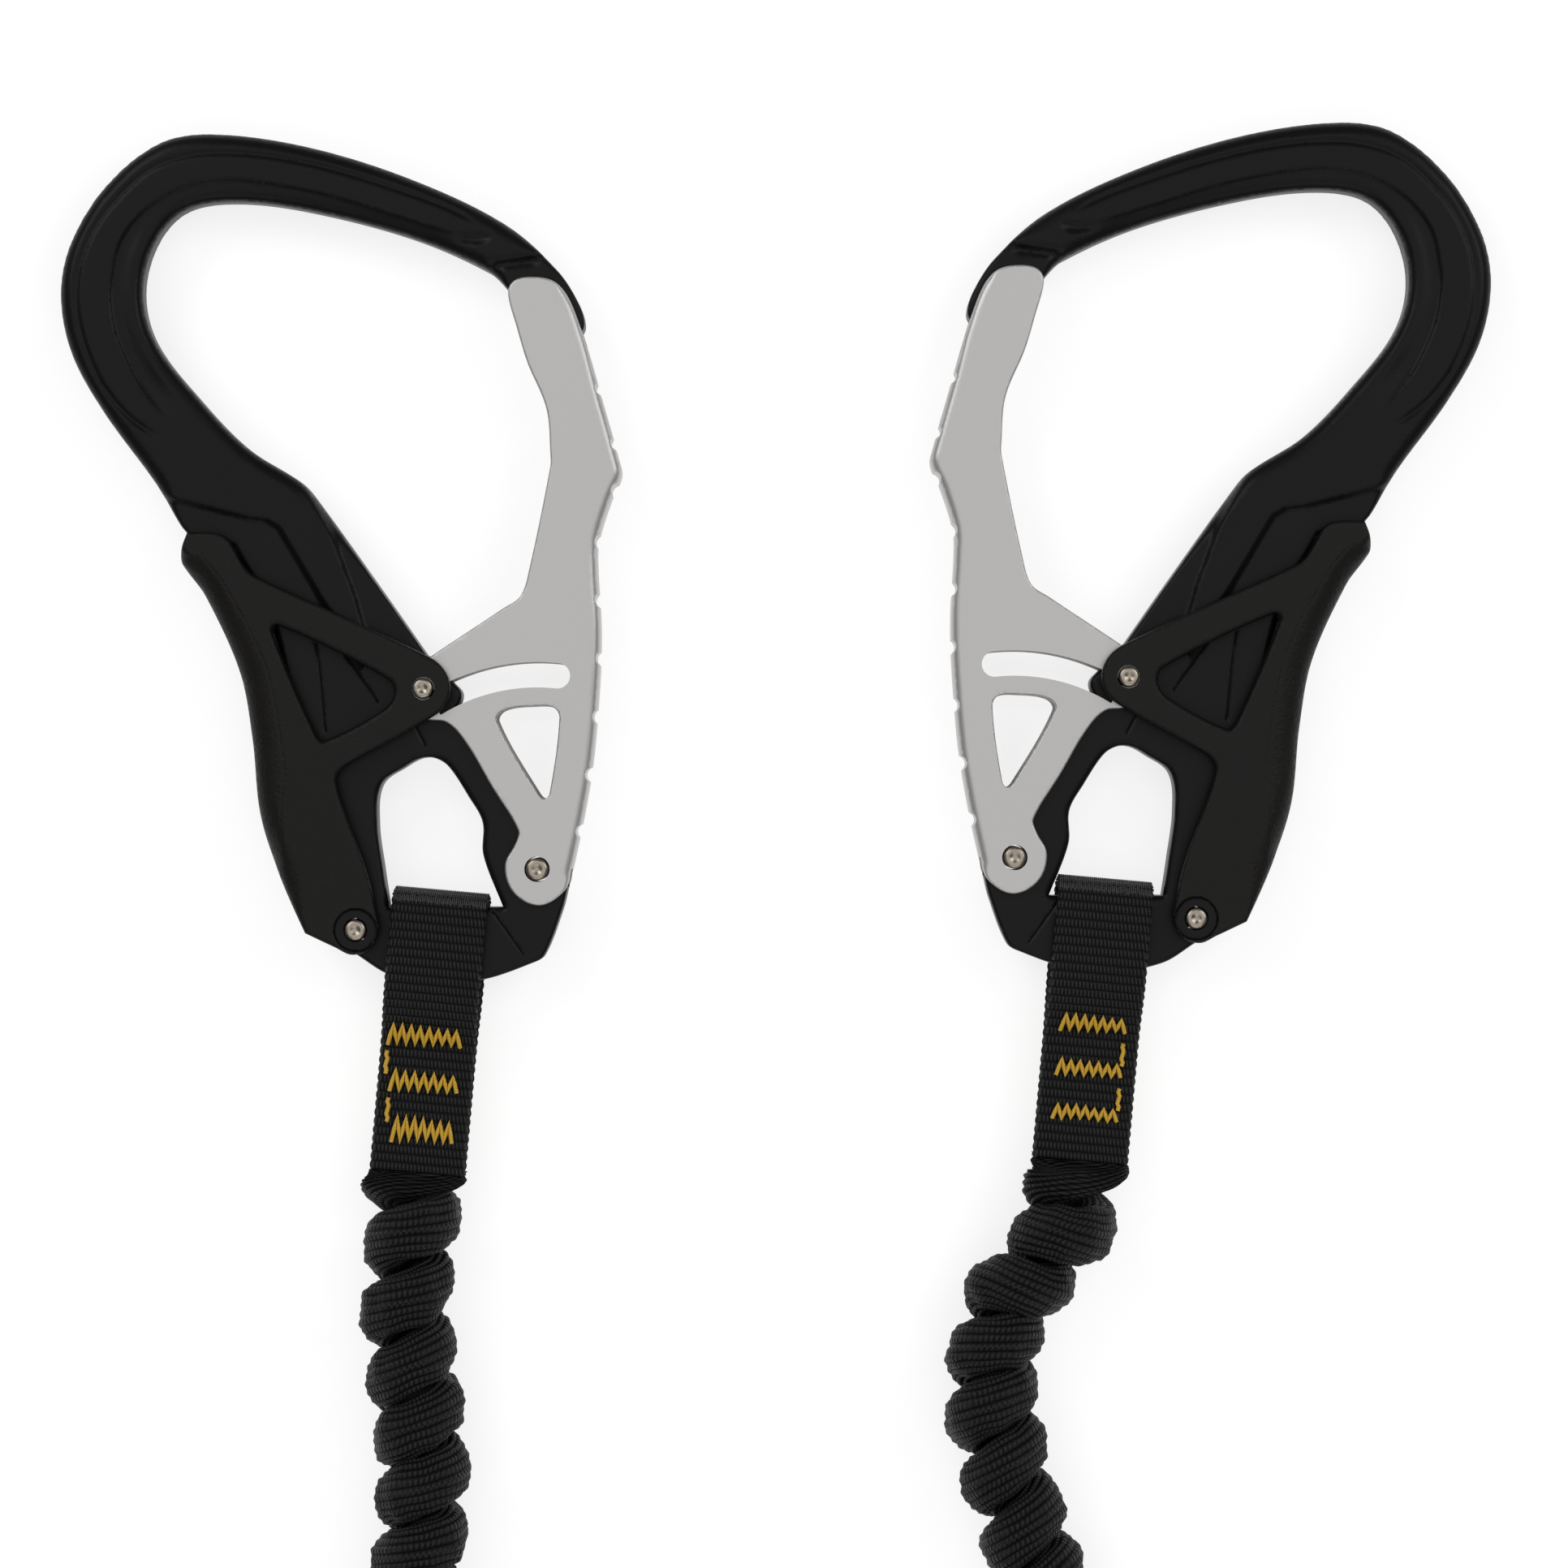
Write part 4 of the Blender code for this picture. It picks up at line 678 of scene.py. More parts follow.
def relief_mesh(name, rims, grid, features, top_of):
    """A closed body with the same relief on both faces. The first rim is its outline."""
    borders = [rim.line for rim in rims]
    low, high = borders[0].min(axis=0), borders[0].max(axis=0)
    columns = np.arange(low[0], high[0], grid)
    rows = np.arange(low[1], high[1], grid)
    lattice = np.stack(np.meshgrid(columns, rows), axis=2).reshape(-1, 2)
    lattice[:, 0] += np.repeat(np.arange(len(rows)) % 2 * grid / 2, len(columns))
    wanted = np.concatenate([rim.rows() for rim in rims] + features + [lattice])
    fixed = np.concatenate(borders)
    wanted = thinned(wanted, POINT_SPACING, fixed)
    wanted = wanted[on_body(wanted, borders)]
    for border in borders:
        wanted = wanted[nearest(wanted, border, True)[0] > EDGE_SPACING]
    edges = []
    first = 0
    for border in borders:
        count = len(border)
        edges += [(first + i, first + (i + 1) % count) for i in range(count)]
        first += count
    flat = [Vector((x * MILLIMETRES, y * MILLIMETRES))
            for x, y in np.concatenate((fixed, wanted))]
    spots, _, triangles, *_ = delaunay_2d_cdt(flat, edges, [], 0, 1e-6)
    spots, triangles = pairs(spots) / MILLIMETRES, np.array(triangles)
    triangles = triangles[on_body(spots[triangles].mean(axis=1), borders)]
    used = np.unique(triangles)
    number = np.full(len(spots), -1)
    number[used] = np.arange(len(used))
    spots, triangles = spots[used], number[triangles]
    tops = top_of(spots)
    for rim in rims:
        tops = np.minimum(tops, rim.lowered(spots, tops))
    count = len(spots)
    points = np.concatenate([np.column_stack((spots, z)) for z in (tops, -tops)])
    corners = spots[triangles]
    turn = np.cross(corners[:, 1] - corners[:, 0], corners[:, 2] - corners[:, 0])
    triangles[turn < 0] = triangles[turn < 0][:, ::-1]
    sides = {edge: True for a, b, c in triangles for edge in ((a, b), (b, c), (c, a))}
    faces = [tuple(t) for t in triangles] + [tuple(t[::-1] + count) for t in triangles]
    faces += [(b, a, a + count, b + count) for a, b in sides if (b, a) not in sides]
    return mesh_of(name, points, [tuple(int(i) for i in face) for face in faces])


def rim_between(stretches, plain, full):
    """Rounding that is full along some stretches of the table's points and plain elsewhere."""
    def rounding(places):
        share = np.max([share_between(places, *stretch) for stretch in stretches], axis=0)
        return [a + (b - a) * share for a, b in zip(plain, full)]
    return rounding


def even_rim(width, drop):
    return lambda places: (np.full(len(places), width), np.full(len(places), drop))


def carabiner_matrix(side):
    """From the carabiner's own axes, about its gate's pivot, to its place."""
    turn = math.pi if side == "right" else 0
    return Matrix.Translation(joint_place(f"{side}_gate_swing")) @ Matrix.Rotation(turn, 4, "Y")


def keyhole_line(centre, reach, radius):
    """Half a ring round the centre, open into a straight way along X."""
    side = 1 if reach > 0 else -1
    turns = [math.pi / 2 + math.pi * i / 16 for i in range(17)]
    ring = [centre + radius * Vector((side * math.cos(t), math.sin(t))) for t in turns]
    return ring + [centre + Vector((reach, -radius)), centre + Vector((reach, radius))]


def carved(name, mesh, cutters):
    """The mesh less its cutters, as a plain mesh."""
    pool = bpy.data.collections.new(name + "_cutters")
    body = linked(name, mesh)
    bpy.context.scene.collection.children.link(pool)
    helpers = [bpy.data.objects.new(cutter.name, cutter) for cutter in cutters]
    for helper in helpers:
        pool.objects.link(helper)
    step = body.modifiers.new("carve", "BOOLEAN")
    step.operation = "DIFFERENCE"
    step.solver = "EXACT"
    step.operand_type = "COLLECTION"
    step.collection = pool
    plain = plain_mesh(body, name)
    for helper in [*helpers, body]:
        bpy.data.objects.remove(helper)
    bpy.data.collections.remove(pool)
    return plain


def even_normals(made):
    """Shades a piece by its large faces, so that narrow roundings look even."""
    step = made.modifiers.new("even normals", "WEIGHTED_NORMAL")
    step.keep_sharp = True
    step.weight = 80


def place_twins(name, mesh, node, material, body, sharp):
    """Shows the left piece and the right one, which is the same turned over."""
    mesh.materials.clear()
    for face in mesh.polygons:
        face.use_smooth = True
    mesh.set_sharp_from_angle(angle=math.radians(sharp))
    for side in SIDES:
        copy = mesh.copy()
        copy.transform(carabiner_matrix(side))
        made = object_of(f"{side}_{name}", copy, finish(material))
        even_normals(made)
        shown(made, body.format(side=side), f"{side}_{node}")


# Geometry Nodes


def thread_tree():
    """Turns lines of points into sewn thread of a given thickness."""
    tree = bpy.data.node_groups.get("sewn_thread")
    if tree:
        return tree
    tree = bpy.data.node_groups.new("sewn_thread", "GeometryNodeTree")
    for label, kind, way in (("Lines", "Geometry", "INPUT"), ("Thread radius", "Float", "INPUT"),
                             ("Thread sides", "Int", "INPUT"),
                             ("Thread material", "Material", "INPUT"),
                             ("Thread", "Geometry", "OUTPUT")):
        tree.interface.new_socket(label, in_out=way, socket_type="NodeSocket" + kind)
    start, curve, profile, sweep, shade, real, paint, end = (tree.nodes.new(kind) for kind in (
        "NodeGroupInput", "GeometryNodeMeshToCurve", "GeometryNodeCurvePrimitiveCircle",
        "GeometryNodeCurveToMesh", "GeometryNodeSetShadeSmooth",
        "GeometryNodeRealizeInstances", "GeometryNodeSetMaterial", "NodeGroupOutput"))
    sweep.inputs["Fill Caps"].default_value = True
    for source, out, target, entry in (
        (start, "Lines", curve, "Mesh"), (start, "Thread radius", profile, "Radius"),
        (start, "Thread sides", profile, "Resolution"), (curve, "Curve", sweep, "Curve"),
        (profile, "Curve", sweep, "Profile Curve"), (sweep, "Mesh", shade, "Geometry"),
        (shade, "Geometry", real, "Geometry"), (real, "Geometry", paint, "Geometry"),
        (start, "Thread material", paint, "Material"), (paint, "Geometry", end, "Thread"),
    ):
        tree.links.new(source.outputs[out], target.inputs[entry])
    return tree


def sewn(name, lines, radius, material):
    """Thread that follows the lines, as a plain mesh on the lanyard."""
    mesh = bpy.data.meshes.new(name + "_lines")
    points, edges = [], []
    for line in lines:
        first = len(points)
        points += [tuple(p) for p in line]
        edges += [(first + i, first + i + 1) for i in range(len(line) - 1)]
    mesh.from_pydata(points, edges, [])
    made = object_of(name, mesh, material)
    step = made.modifiers.new("sewn thread", "NODES")
    step.node_group = thread_tree()
    values = {"Thread radius": radius, "Thread sides": THREAD_SIDES,
              "Thread material": material}
    for item in step.node_group.interface.items_tree:
        if item.name in values:
            step[item.identifier] = values[item.name]
    plain = plain_mesh(made, name)
    made.modifiers.clear()
    made.data = plain
    shown(made, "lanyard")
    return made


# Shader groups and materials


def feed(tree, node, values):
    """Sets a node's inputs, each to a value or to a link from another node's output."""
    for name, value in values.items():
        if isinstance(value, bpy.types.NodeSocket):
            tree.links.new(value, node.inputs[name])
        else:
            node.inputs[name].default_value = value


def node_of(tree, kind, values=(), **settings):
    made = tree.nodes.new("ShaderNode" + kind)
    for name, value in settings.items():
        setattr(made, name, value)
    feed(tree, made, dict(values))
    return made


def group(name, inputs, outputs):
    """A new shader group with its start and end, all of whose sockets are numbers."""
    made = bpy.data.node_groups.new(name, "ShaderNodeTree")
    for label, value in inputs.items():
        socket = made.interface.new_socket(label, in_out="INPUT", socket_type="NodeSocketFloat")
        socket.default_value = value
    for label in outputs:
        made.interface.new_socket(label, in_out="OUTPUT", socket_type="NodeSocketFloat")
    return made, made.nodes.new("NodeGroupInput").outputs, made.nodes.new("NodeGroupOutput")


def maths(tree, operation, *values):
    return node_of(tree, "Math", dict(enumerate(values)), operation=operation).outputs[0]


def grain_group():
    """Fine grain with broad unevenness, from the piece's own place."""
    made = bpy.data.node_groups.get("fine_grain")
    if made:
        return made
    made, start, end = group(
        "fine_grain", {"Grain scale": 2500.0, "Patch scale": 60.0, "Patch share": 0.4},
        ("Height", "Patches"))
    place = node_of(made, "TexCoord").outputs["Object"]
    fine, broad = (
        node_of(made, "TexNoise", {"Vector": place, "Scale": scale, "Detail": detail})
        for scale, detail in ((start["Grain scale"], 3), (start["Patch scale"], 4)))
    centred = maths(made, "SUBTRACT", broad.outputs["Fac"], 0.5)
    patches = maths(made, "MULTIPLY_ADD", centred, start["Patch share"], 0.5)
    feed(made, end, {"Height": fine.outputs["Fac"], "Patches": patches})
    return made


def weave_group():
    """Ribbed webbing in the piece's own weave coordinates: one rib along, one yarn across."""
    made = bpy.data.node_groups.get("ribbed_weave")
    if made:
        return made
    made, start, end = group(
        "ribbed_weave", {"Rib share": 0.7, "Stagger": 0.5, "Slant": 0.2}, ("Height", "Yarn"))

    def do(operation, *values):
        return maths(made, operation, *values)

    place = node_of(made, "UVMap", uv_map="weave").outputs["UV"]
    parts = node_of(made, "SeparateXYZ", {0: place}).outputs
    row = do("FLOOR", parts["Y"])
    part = do("SUBTRACT", parts["Y"], row)
    shift = do("MULTIPLY", do("FLOORED_MODULO", row, 2.0), start["Stagger"])
    column = do("ADD", do("ADD", parts["X"], shift), do("MULTIPLY", part, start["Slant"]))
    rib = do("POWER", do("SINE", do("MULTIPLY", part, math.pi)), 0.4)
    yarn = do("POWER", do("ABSOLUTE", do("SINE", do("MULTIPLY", column, math.pi))), 0.8)
    crown = do("MULTIPLY", rib, yarn)
    height = do("ADD", do("MULTIPLY", rib, start["Rib share"]),
                do("MULTIPLY", crown, do("SUBTRACT", 1.0, start["Rib share"])))
    spot = node_of(made, "TexCoord").outputs["Object"]
    fuzz = node_of(made, "TexNoise", {"Scale": 3500, "Vector": spot}).outputs["Fac"]
    # The crowns go out as the mask of the finish's painted shade between the yarns and its painted
    # highlight on them
    feed(made, end, {"Height": do("MULTIPLY_ADD", fuzz, 0.06, height), "Yarn": crown})
    return made


def painted(name, tree_of, metallic=0.0, specular=0.5):
    """A new material. tree_of takes its tree and gives the shader's other inputs, the height
    of its relief, and that relief's strength and distance."""
    made = bpy.data.materials.new(name)
    made.use_nodes = True
    tree = made.node_tree
    inputs, height, (strength, distance) = tree_of(tree)
    bump = node_of(tree, "Bump", {"Strength": strength, "Distance": distance, "Height": height})
    feed(tree, tree.nodes["Principled BSDF"], {
        "Metallic": metallic, "Specular IOR Level": specular, "Normal": bump.outputs["Normal"],
        **inputs})
    return made


def ramp(tree, factor, low, high):
    return node_of(tree, "Mix", {0: factor, 6: (*low, 1), 7: (*high, 1)},
                   data_type="RGBA").outputs[2]


def grained(name, low, high, roughness, metallic, grain_scale, patch_scale, bump, specular=0.5):
    """A finish with fine grain: its colour and gloss drift a little over the surface."""
    def tree_of(tree):
        grain = node_of(tree, "Group", {"Grain scale": grain_scale, "Patch scale": patch_scale},
                        node_tree=grain_group())
        patches = grain.outputs["Patches"]
        return {"Base Color": ramp(tree, patches, low, high),
                "Roughness": maths(tree, "MULTIPLY_ADD", patches, 0.16, roughness - 0.08)}, \
            grain.outputs["Height"], bump

    return painted(name, tree_of, metallic, specular)


def woven(name, low, high, roughness, rib_share, bump, sheen=0.0, slant=0.2):
    """A woven finish with painted shade between the yarns and a painted highlight on their crowns.
    """
    def tree_of(tree):
        weave = node_of(tree, "Group", {"Rib share": rib_share, "Stagger": 0.5, "Slant": slant},
                        node_tree=weave_group())
        yarn = weave.outputs["Yarn"]
        # Painted light: the colour darkens between the yarns as shade and lightens on their crowns
        # as a highlight
        return {"Base Color": ramp(tree, yarn, low, high),
                "Roughness": maths(tree, "MULTIPLY_ADD", yarn, -0.12, roughness),
                "Sheen Weight": sheen, "Sheen Roughness": 0.5}, weave.outputs["Height"], bump

    return painted(name, tree_of, specular=0.16)


def twisted(name, low, high, roughness):
    """Twisted thread: slanted plies, with painted shade in the grooves between them."""
    def tree_of(tree):
        place = node_of(tree, "TexCoord").outputs["Object"]
        along = node_of(tree, "VectorMath", {0: place, 1: (0.70, 0.62, 0.35)},
                        operation="DOT_PRODUCT").outputs["Value"]
        wave = maths(tree, "SINE", maths(tree, "MULTIPLY", along, math.pi / 0.00036))
        ply = maths(tree, "POWER", maths(tree, "ABSOLUTE", wave), 0.5)
        # Painted shade: the colour darkens in the grooves between the plies
        return {"Base Color": ramp(tree, ply, low, high), "Roughness": roughness}, \
            ply, (0.6, 0.00012)

    return painted(name, tree_of, specular=0.3)


# Each finish: its maker, its colour, the shades of that colour and the maker's own values.
# No name here is one of the CAD slots' own materials, which the frame brings with it.
FINISHES = {
    "anodised_alloy": (grained, "anodised", 0.8, 1.25, 0.36, 0.0, 2600, 45, (0.12, 0.0002), 0.13),
    "blasted_sheet": (grained, "blasted", 0.95, 1.04, 0.37, 0.62, 3200, 30, (0.10, 0.0002)),
    "moulded_plastic": (grained, "plastic", 0.85, 1.2, 0.44, 0.0, 1500, 60, (0.35, 0.0004), 0.15),
    "turned_steel": (grained, "steel", 0.65, 1.4, 0.30, 1.0, 1400, 650, (0.25, 0.0002)),
    "drawn_wire": (grained, "wire", 0.66, 1.0, 0.3, 1.0, 1500, 300, (0.1, 0.0002)),
    # For the woven finishes and the twisted thread the two shades are painted light: the darker is
    # painted shade in the grooves, the lighter a painted highlight on the crowns
    "black_webbing": (woven, "webbing", 0.08, 1.9, 0.60, 0.45, (0.8, 0.0006)),
    "gathered_elastic": (woven, "elastic", 0.10, 1.5, 0.56, 0.6, (0.9, 0.0008), 0.0, 0.75),
    "plain_cloth": (woven, "webbing", 0.3, 1.9, 0.66, 0.5, (0.8, 0.0005), 0.0, 0.0),
    "black_thread": (grained, "webbing", 0.8, 2.2, 0.6, 0.0, 2200, 500, (0.4, 0.0003), 0.3),
    "worn_thread": (grained, "webbing", 1.2, 7.0, 0.55, 0.0, 2200, 900, (0.4, 0.0003), 0.3),
    "yellow_tape": (woven, "tear_tape", 0.5, 1.0, 0.75, 0.6, (0.9, 0.0005), 0.1),
    "gold_thread": (twisted, "thread", 0.45, 1.12, 0.5),
}


def finish(name):
    """The finished material of that name, made once."""
    found = bpy.data.materials.get(name)
    if found:
        return found
    maker, colour, low, high, *values = FINISHES[name]
    whole = getattr(bpy.context.scene.lanyard_colours, colour)
    return maker(name, *(shade_of(whole, factor) for factor in (low, high)), *values)


def shade_of(colour, factor):
    return tuple(min(1.0, value * factor) for value in colour)


# Places


def joint_place(name):
    for joint in frame["joints"]:
        if joint["name"] == name:
            return Vector(joint["pos_m"])
    raise RuntimeError("there is no joint named " + name)


def arm_route(side):
    """The arm's route as a smooth line, its length so far at each point, and its whole length."""
    way = -1 if side == "left" else 1
    ground = [*ARM_STARTS[side], *((way * x, y) for x, y in ARM_BEND)]
    first, usual, last = ARM_HEIGHTS
    heights = [*first, *[usual] * (len(ground) - len(first) - len(last)), *last]
    points = [(x, y, z) for (x, y), z in zip(ground, heights)]
    route = [p + SHIFT for p in smooth_points(points, ROUTE_STEPS)]
    lengths = lengths_of(route)
    return route, lengths, lengths[-1]


def arm_rings(side, sizes):
    """Rings of the gathered arm: centre, turn round the route, the directions across and up,
    and how flat the ring is. It also gives the route and its whole length. The gathers start
    right at the sewn loop and loosen at the absorber."""
    route, lengths, total = arm_route(side)
    first, seed = ARM_GATHERS[side]
    places = [-ARM_TUCK]
    distance = 0.0
    while distance < total:
        places.append(distance)
        steps = sizes.near_steps if distance < sizes.near_length else sizes.far_steps
        distance += sizes.curl_pitch / steps
    places.append(total)
    rings = []
    for distance in places:
        place, ahead = place_along(route, lengths, max(distance, 0.0))
        place = place + ahead * min(distance, 0.0)
        across = Vector((0, 0, 1)).cross(ahead).normalized()
        up = ahead.cross(across)
        rise = smooth_share(min(distance / sizes.arm_rise, (total - distance) / ARM_FALL))
        drift = CURL_DRIFT[0] * noise.noise(Vector((distance * CURL_DRIFT[1], seed, 5)))
        turn = 2 * math.pi * (distance - first) / sizes.curl_pitch + drift
        swell = CURL_SWELL[0] * noise.noise(Vector((distance * CURL_SWELL[1], seed, 0)))
        radius = sizes.curl_radius * float(rise) * (1 + swell)
        outward = across * math.cos(turn) + up * math.sin(turn)
        flat = 1 - float(smooth_share(distance / sizes.flat_start))
        rings.append((place + outward * radius, turn, across, up, flat))
    return rings, route, total


# Settings


def length_of(name, default, description):
    return bpy.props.FloatProperty(name=name, default=default, description=description,
                                   unit="LENGTH")


def count_of(name, default, description):
    return bpy.props.IntProperty(name=name, default=default, description=description)


def colour_of(name, default, description):
    return bpy.props.FloatVectorProperty(name=name, default=default, description=description,
                                         subtype="COLOR")


class LanyardSizes(bpy.types.PropertyGroup):
    """Sizes of the pieces, in metres."""

    fold_width: length_of("Fold half width", 0.0061, "Half width of a gather along the arm")
    fold_depth: length_of("Fold half depth", 0.0051, "Half depth of a gather across the arm")
    curl_radius: length_of("Curl radius", 0.0047, "How far a gather stands off the route")
    curl_pitch: length_of("Curl pitch", 0.0129, "Distance from one gather to the next")
    near_steps: count_of("Fine steps", 60, "Rings in a gather near the sewn loop")
    far_steps: count_of("Plain steps", 20, "Rings in a gather farther on")
    near_length: length_of("Fine length", 0.075, "Length of the arm with fine rings")
    arm_rise: length_of("Gather rise", 0.0050, "Length over which the gathers grow")
    flat_start: length_of("Flat start", 0.0085, "Length over which an arm leaves its flat")
    flat_width: length_of("Flat half width", 0.0096, "Half width of an arm at its sewn loop")
    flat_depth: length_of("Flat half depth", 0.0021, "Half thickness of an arm at its loop")
    arm_ribs: count_of("Arm ribs", 19, "Ribs round the gathered tape")
    arm_yarn: length_of("Arm yarn", 0.00062, "Length of a yarn float on the arms")
    webbing_width: length_of("Webbing width", 0.0200, "Width of the sewn tape")
    webbing_thickness: length_of("Webbing thickness", 0.0020, "Thickness of the tape")
    hem: length_of("Hem", 0.0085, "Length of the sleeve's turned-in hems")
    webbing_rib: length_of("Webbing rib", 0.0018, "Distance between ribs of the sewn tape")
    webbing_yarn: length_of("Webbing yarn", 0.00078, "Distance between yarns of the tape")
    thread_radius: length_of("Thread radius", 0.00046, "Radius of the bar tacks' thread")
    tack_pitch: length_of("Tack pitch", 0.00184, "Distance between two stitches of a tack")
    floor_glow: bpy.props.FloatProperty(name="Floor glow", default=0.76,
                                        description="Light of the lit table itself")
    camera_height: length_of("Camera height", 0.93, "Height of the camera over the floor")


class LanyardColours(bpy.types.PropertyGroup):
    """Colours of the finishes."""

    anodised: colour_of("Anodised alloy", (0.0046, 0.0046, 0.0049), "Black of the forged hooks")
    blasted: colour_of("Blasted sheet", (0.475, 0.467, 0.459), "Silver of the gates")
    plastic: colour_of("Moulded plastic", (0.0070, 0.0064, 0.0058), "Black of the palm levers")
    steel: colour_of("Rivet steel", (0.31, 0.27, 0.225), "Steel of the rivets")
    wire: colour_of("Spring wire", (0.38, 0.38, 0.39), "Steel of the springs")
    webbing: colour_of("Webbing", (0.012, 0.012, 0.0125), "Black of the sewn tape")
    elastic: colour_of("Elastic", (0.010, 0.010, 0.0105), "Black of the gathered arms")
    tear_tape: colour_of("Tear tape", (0.62, 0.42, 0.06), "Yellow of the tear webbing")
    thread: colour_of("Thread", (0.60, 0.36, 0.035), "Gold of the bar tacks")
    floor: colour_of("Floor", (0.34, 0.34, 0.34), "Pale floor under the lanyard")


# Pieces


class LANYARD_OT_stage(bpy.types.Operator):
    """Lay the floor and set the camera and the soft lights"""

    bl_idname = "lanyard.stage"
    bl_label = "Stage"

    def execute(self, context):
        sizes = context.scene.lanyard_sizes
        camera = bpy.data.cameras.new("overhead_camera")
        camera.sensor_width = 36
        camera.lens = camera.sensor_width * (sizes.camera_height - VIEW_HEIGHT) / VIEW_WIDTH
        eye = linked("overhead_camera", camera)
        eye.location = (SHIFT.x, SHIFT.y, sizes.camera_height)
        context.scene.camera = eye
        corners = [(x * FLOOR_REACH, y * FLOOR_REACH, -FLOOR_DROP)
                   for x, y in ((-1, -1), (1, -1), (1, 1), (-1, 1))]
        mesh = mesh_of("floor", corners, [(0, 1, 2, 3)])
        paper = bpy.data.materials.new("floor_paper")
        paper.use_nodes = True
        feed(paper.node_tree, paper.node_tree.nodes["Principled BSDF"], {
            "Base Color": (*context.scene.lanyard_colours.floor, 1), "Roughness": 0.9,
            "Metallic": 0.0, "Specular IOR Level": 0.0, "Emission Color": (1, 1, 1, 1),
            "Emission Strength": sizes.floor_glow})
        object_of("floor", mesh, paper)
        for name, (place, size, power) in SOFTBOXES.items():
            light = bpy.data.lights.new(name, "AREA")
            light.shape = "RECTANGLE"
            light.size, light.size_y = size
            light.energy = power
            lamp = linked(name, light)
            lamp.location = SHIFT + Vector(place)
            lamp.rotation_euler = (-Vector(place)).to_track_quat("-Z", "Y").to_euler()
        world = bpy.data.worlds.new("pale_room")
        world.use_nodes = True
        feed(world.node_tree, world.node_tree.nodes["Background"],
             {"Color": (1, 1, 1, 1), "Strength": ROOM_LIGHT})
        context.scene.world = world
        context.scene.view_settings.view_transform = "Standard"
        return {"FINISHED"}


class LANYARD_OT_elastic_arms(bpy.types.Operator):
    """Gather the two elastic arms round their routes"""

    bl_idname = "lanyard.elastic_arms"
    bl_label = "Elastic arms"

    def execute(self, context):
        sizes = context.scene.lanyard_sizes
        for side in SIDES:
            rings, route, total = arm_rings(side, sizes)
            mesh = self.tube(f"{side}_gathered_arm", rings, sizes, 4 * sizes.arm_ribs,
                             ARM_SEEDS[side])
            arm = object_of(f"{side}_gathered_arm", mesh, finish("gathered_elastic"))
            shown(arm, "lanyard", f"{side}_elastic_arm")
            tuple(route[0])
            [tuple(p) for p in route[::4] + [route[-1]]]
        return {"FINISHED"}

    def tube(self, name, rings, sizes, sides, seed):
        """The gathered tape: it leaves the loop flat, then its folds bulge and press on each
        other. Its ribs stand out of the mesh, and its yarns are left to the finish."""
        count = len(rings)
        centres = [ring[0] for ring in rings]
        gone = lengths_of(centres)
        points = []
        for index, (centre, turn, across, up, flat) in enumerate(rings):
            ahead = (centres[min(index + 1, count - 1)] - centres[max(index - 1, 0)]).normalized()
            outward = across * math.cos(turn) + up * math.sin(turn)
            out = (outward - ahead * outward.dot(ahead)).normalized()
            beside_it = ahead.cross(out).normalized()
            for step in range(sides):
                angle = 2 * math.pi * step / sides
                a, b = math.cos(angle), math.sin(angle)
                spot = centre + (out * a + beside_it * b) * GATHER_REACH
                lump = noise.noise(spot * TAPE_LUMPS[1] + Vector((seed, 0, 0)))
                wave = noise.noise(spot * TAPE_WAVES[1] + Vector((0, seed, 0)))
                fold = noise.noise(Vector((a * TAPE_FOLDS_AROUND, b * TAPE_FOLDS_AROUND,
                                           gone[index] * TAPE_FOLDS[1] + seed)))
                rib = math.cos(sizes.arm_ribs * angle)
                swell = (1 + (TAPE_LUMPS[0] * lump + TAPE_FOLDS[0] * fold) * (1 - flat)
                         + TAPE_WAVES[0] * wave + TAPE_RIBS * rib)
                pinch = 1 - GATHER_PINCH * (0.5 - 0.5 * a)
                round_it = (out * a * sizes.fold_depth + beside_it * b * sizes.fold_width
                            * pinch) * swell
                c, d = math.cos(angle + turn), math.sin(angle + turn)
                broad = abs(c) ** 0.6 * (1 if c > 0 else -1)
                flat_it = (across * broad * sizes.flat_width
                           + up * d * sizes.flat_depth) * (1 + FLAT_RIBS * rib)
                points.append(centre + round_it.lerp(flat_it, flat))
        faces = ring_faces(count, sides) + end_faces(count, sides)
        uvs = ring_uvs(count - 1, sides, lambda r: gone[r] / sizes.arm_yarn,
                       lambda r, side: sizes.arm_ribs * side / sides + 0.5)
        uvs = [tuple((along, around) for around, along in face) for face in uvs]
        return closed_mesh(name, points, faces, uvs + [((0, 0),) * sides] * 2)


def loop_matrix(side):
    return Matrix.Translation(LOOP_PLACES[side] + SHIFT) @ Matrix.Rotation(LOOP_TILT, 4, "Z")


def tape_line(surface):
    """The outer surface of a folded tape, from one cut end over the bar to the other."""
    return smooth_points([(0, y, z) for y, z in surface]
                         + [(0, y, -z) for y, z in surface[-2::-1]], 8)


def woven_height(across, along, sizes):
    """Relief of the ribbed weave: plump yarn floats in rows, set off by half in every other
    row. Both places are in metres."""
    rib, yarn = sizes.webbing_rib, sizes.webbing_yarn
    row = math.floor(along / rib)
    part = along / rib - row
    shift = 0.5 * (row % 2) + 0.2 * part
    crown = abs(math.sin(math.pi * (across / yarn + shift))) ** 0.7
    return math.sin(math.pi * part) ** 0.4 * (0.3 + 0.7 * crown)


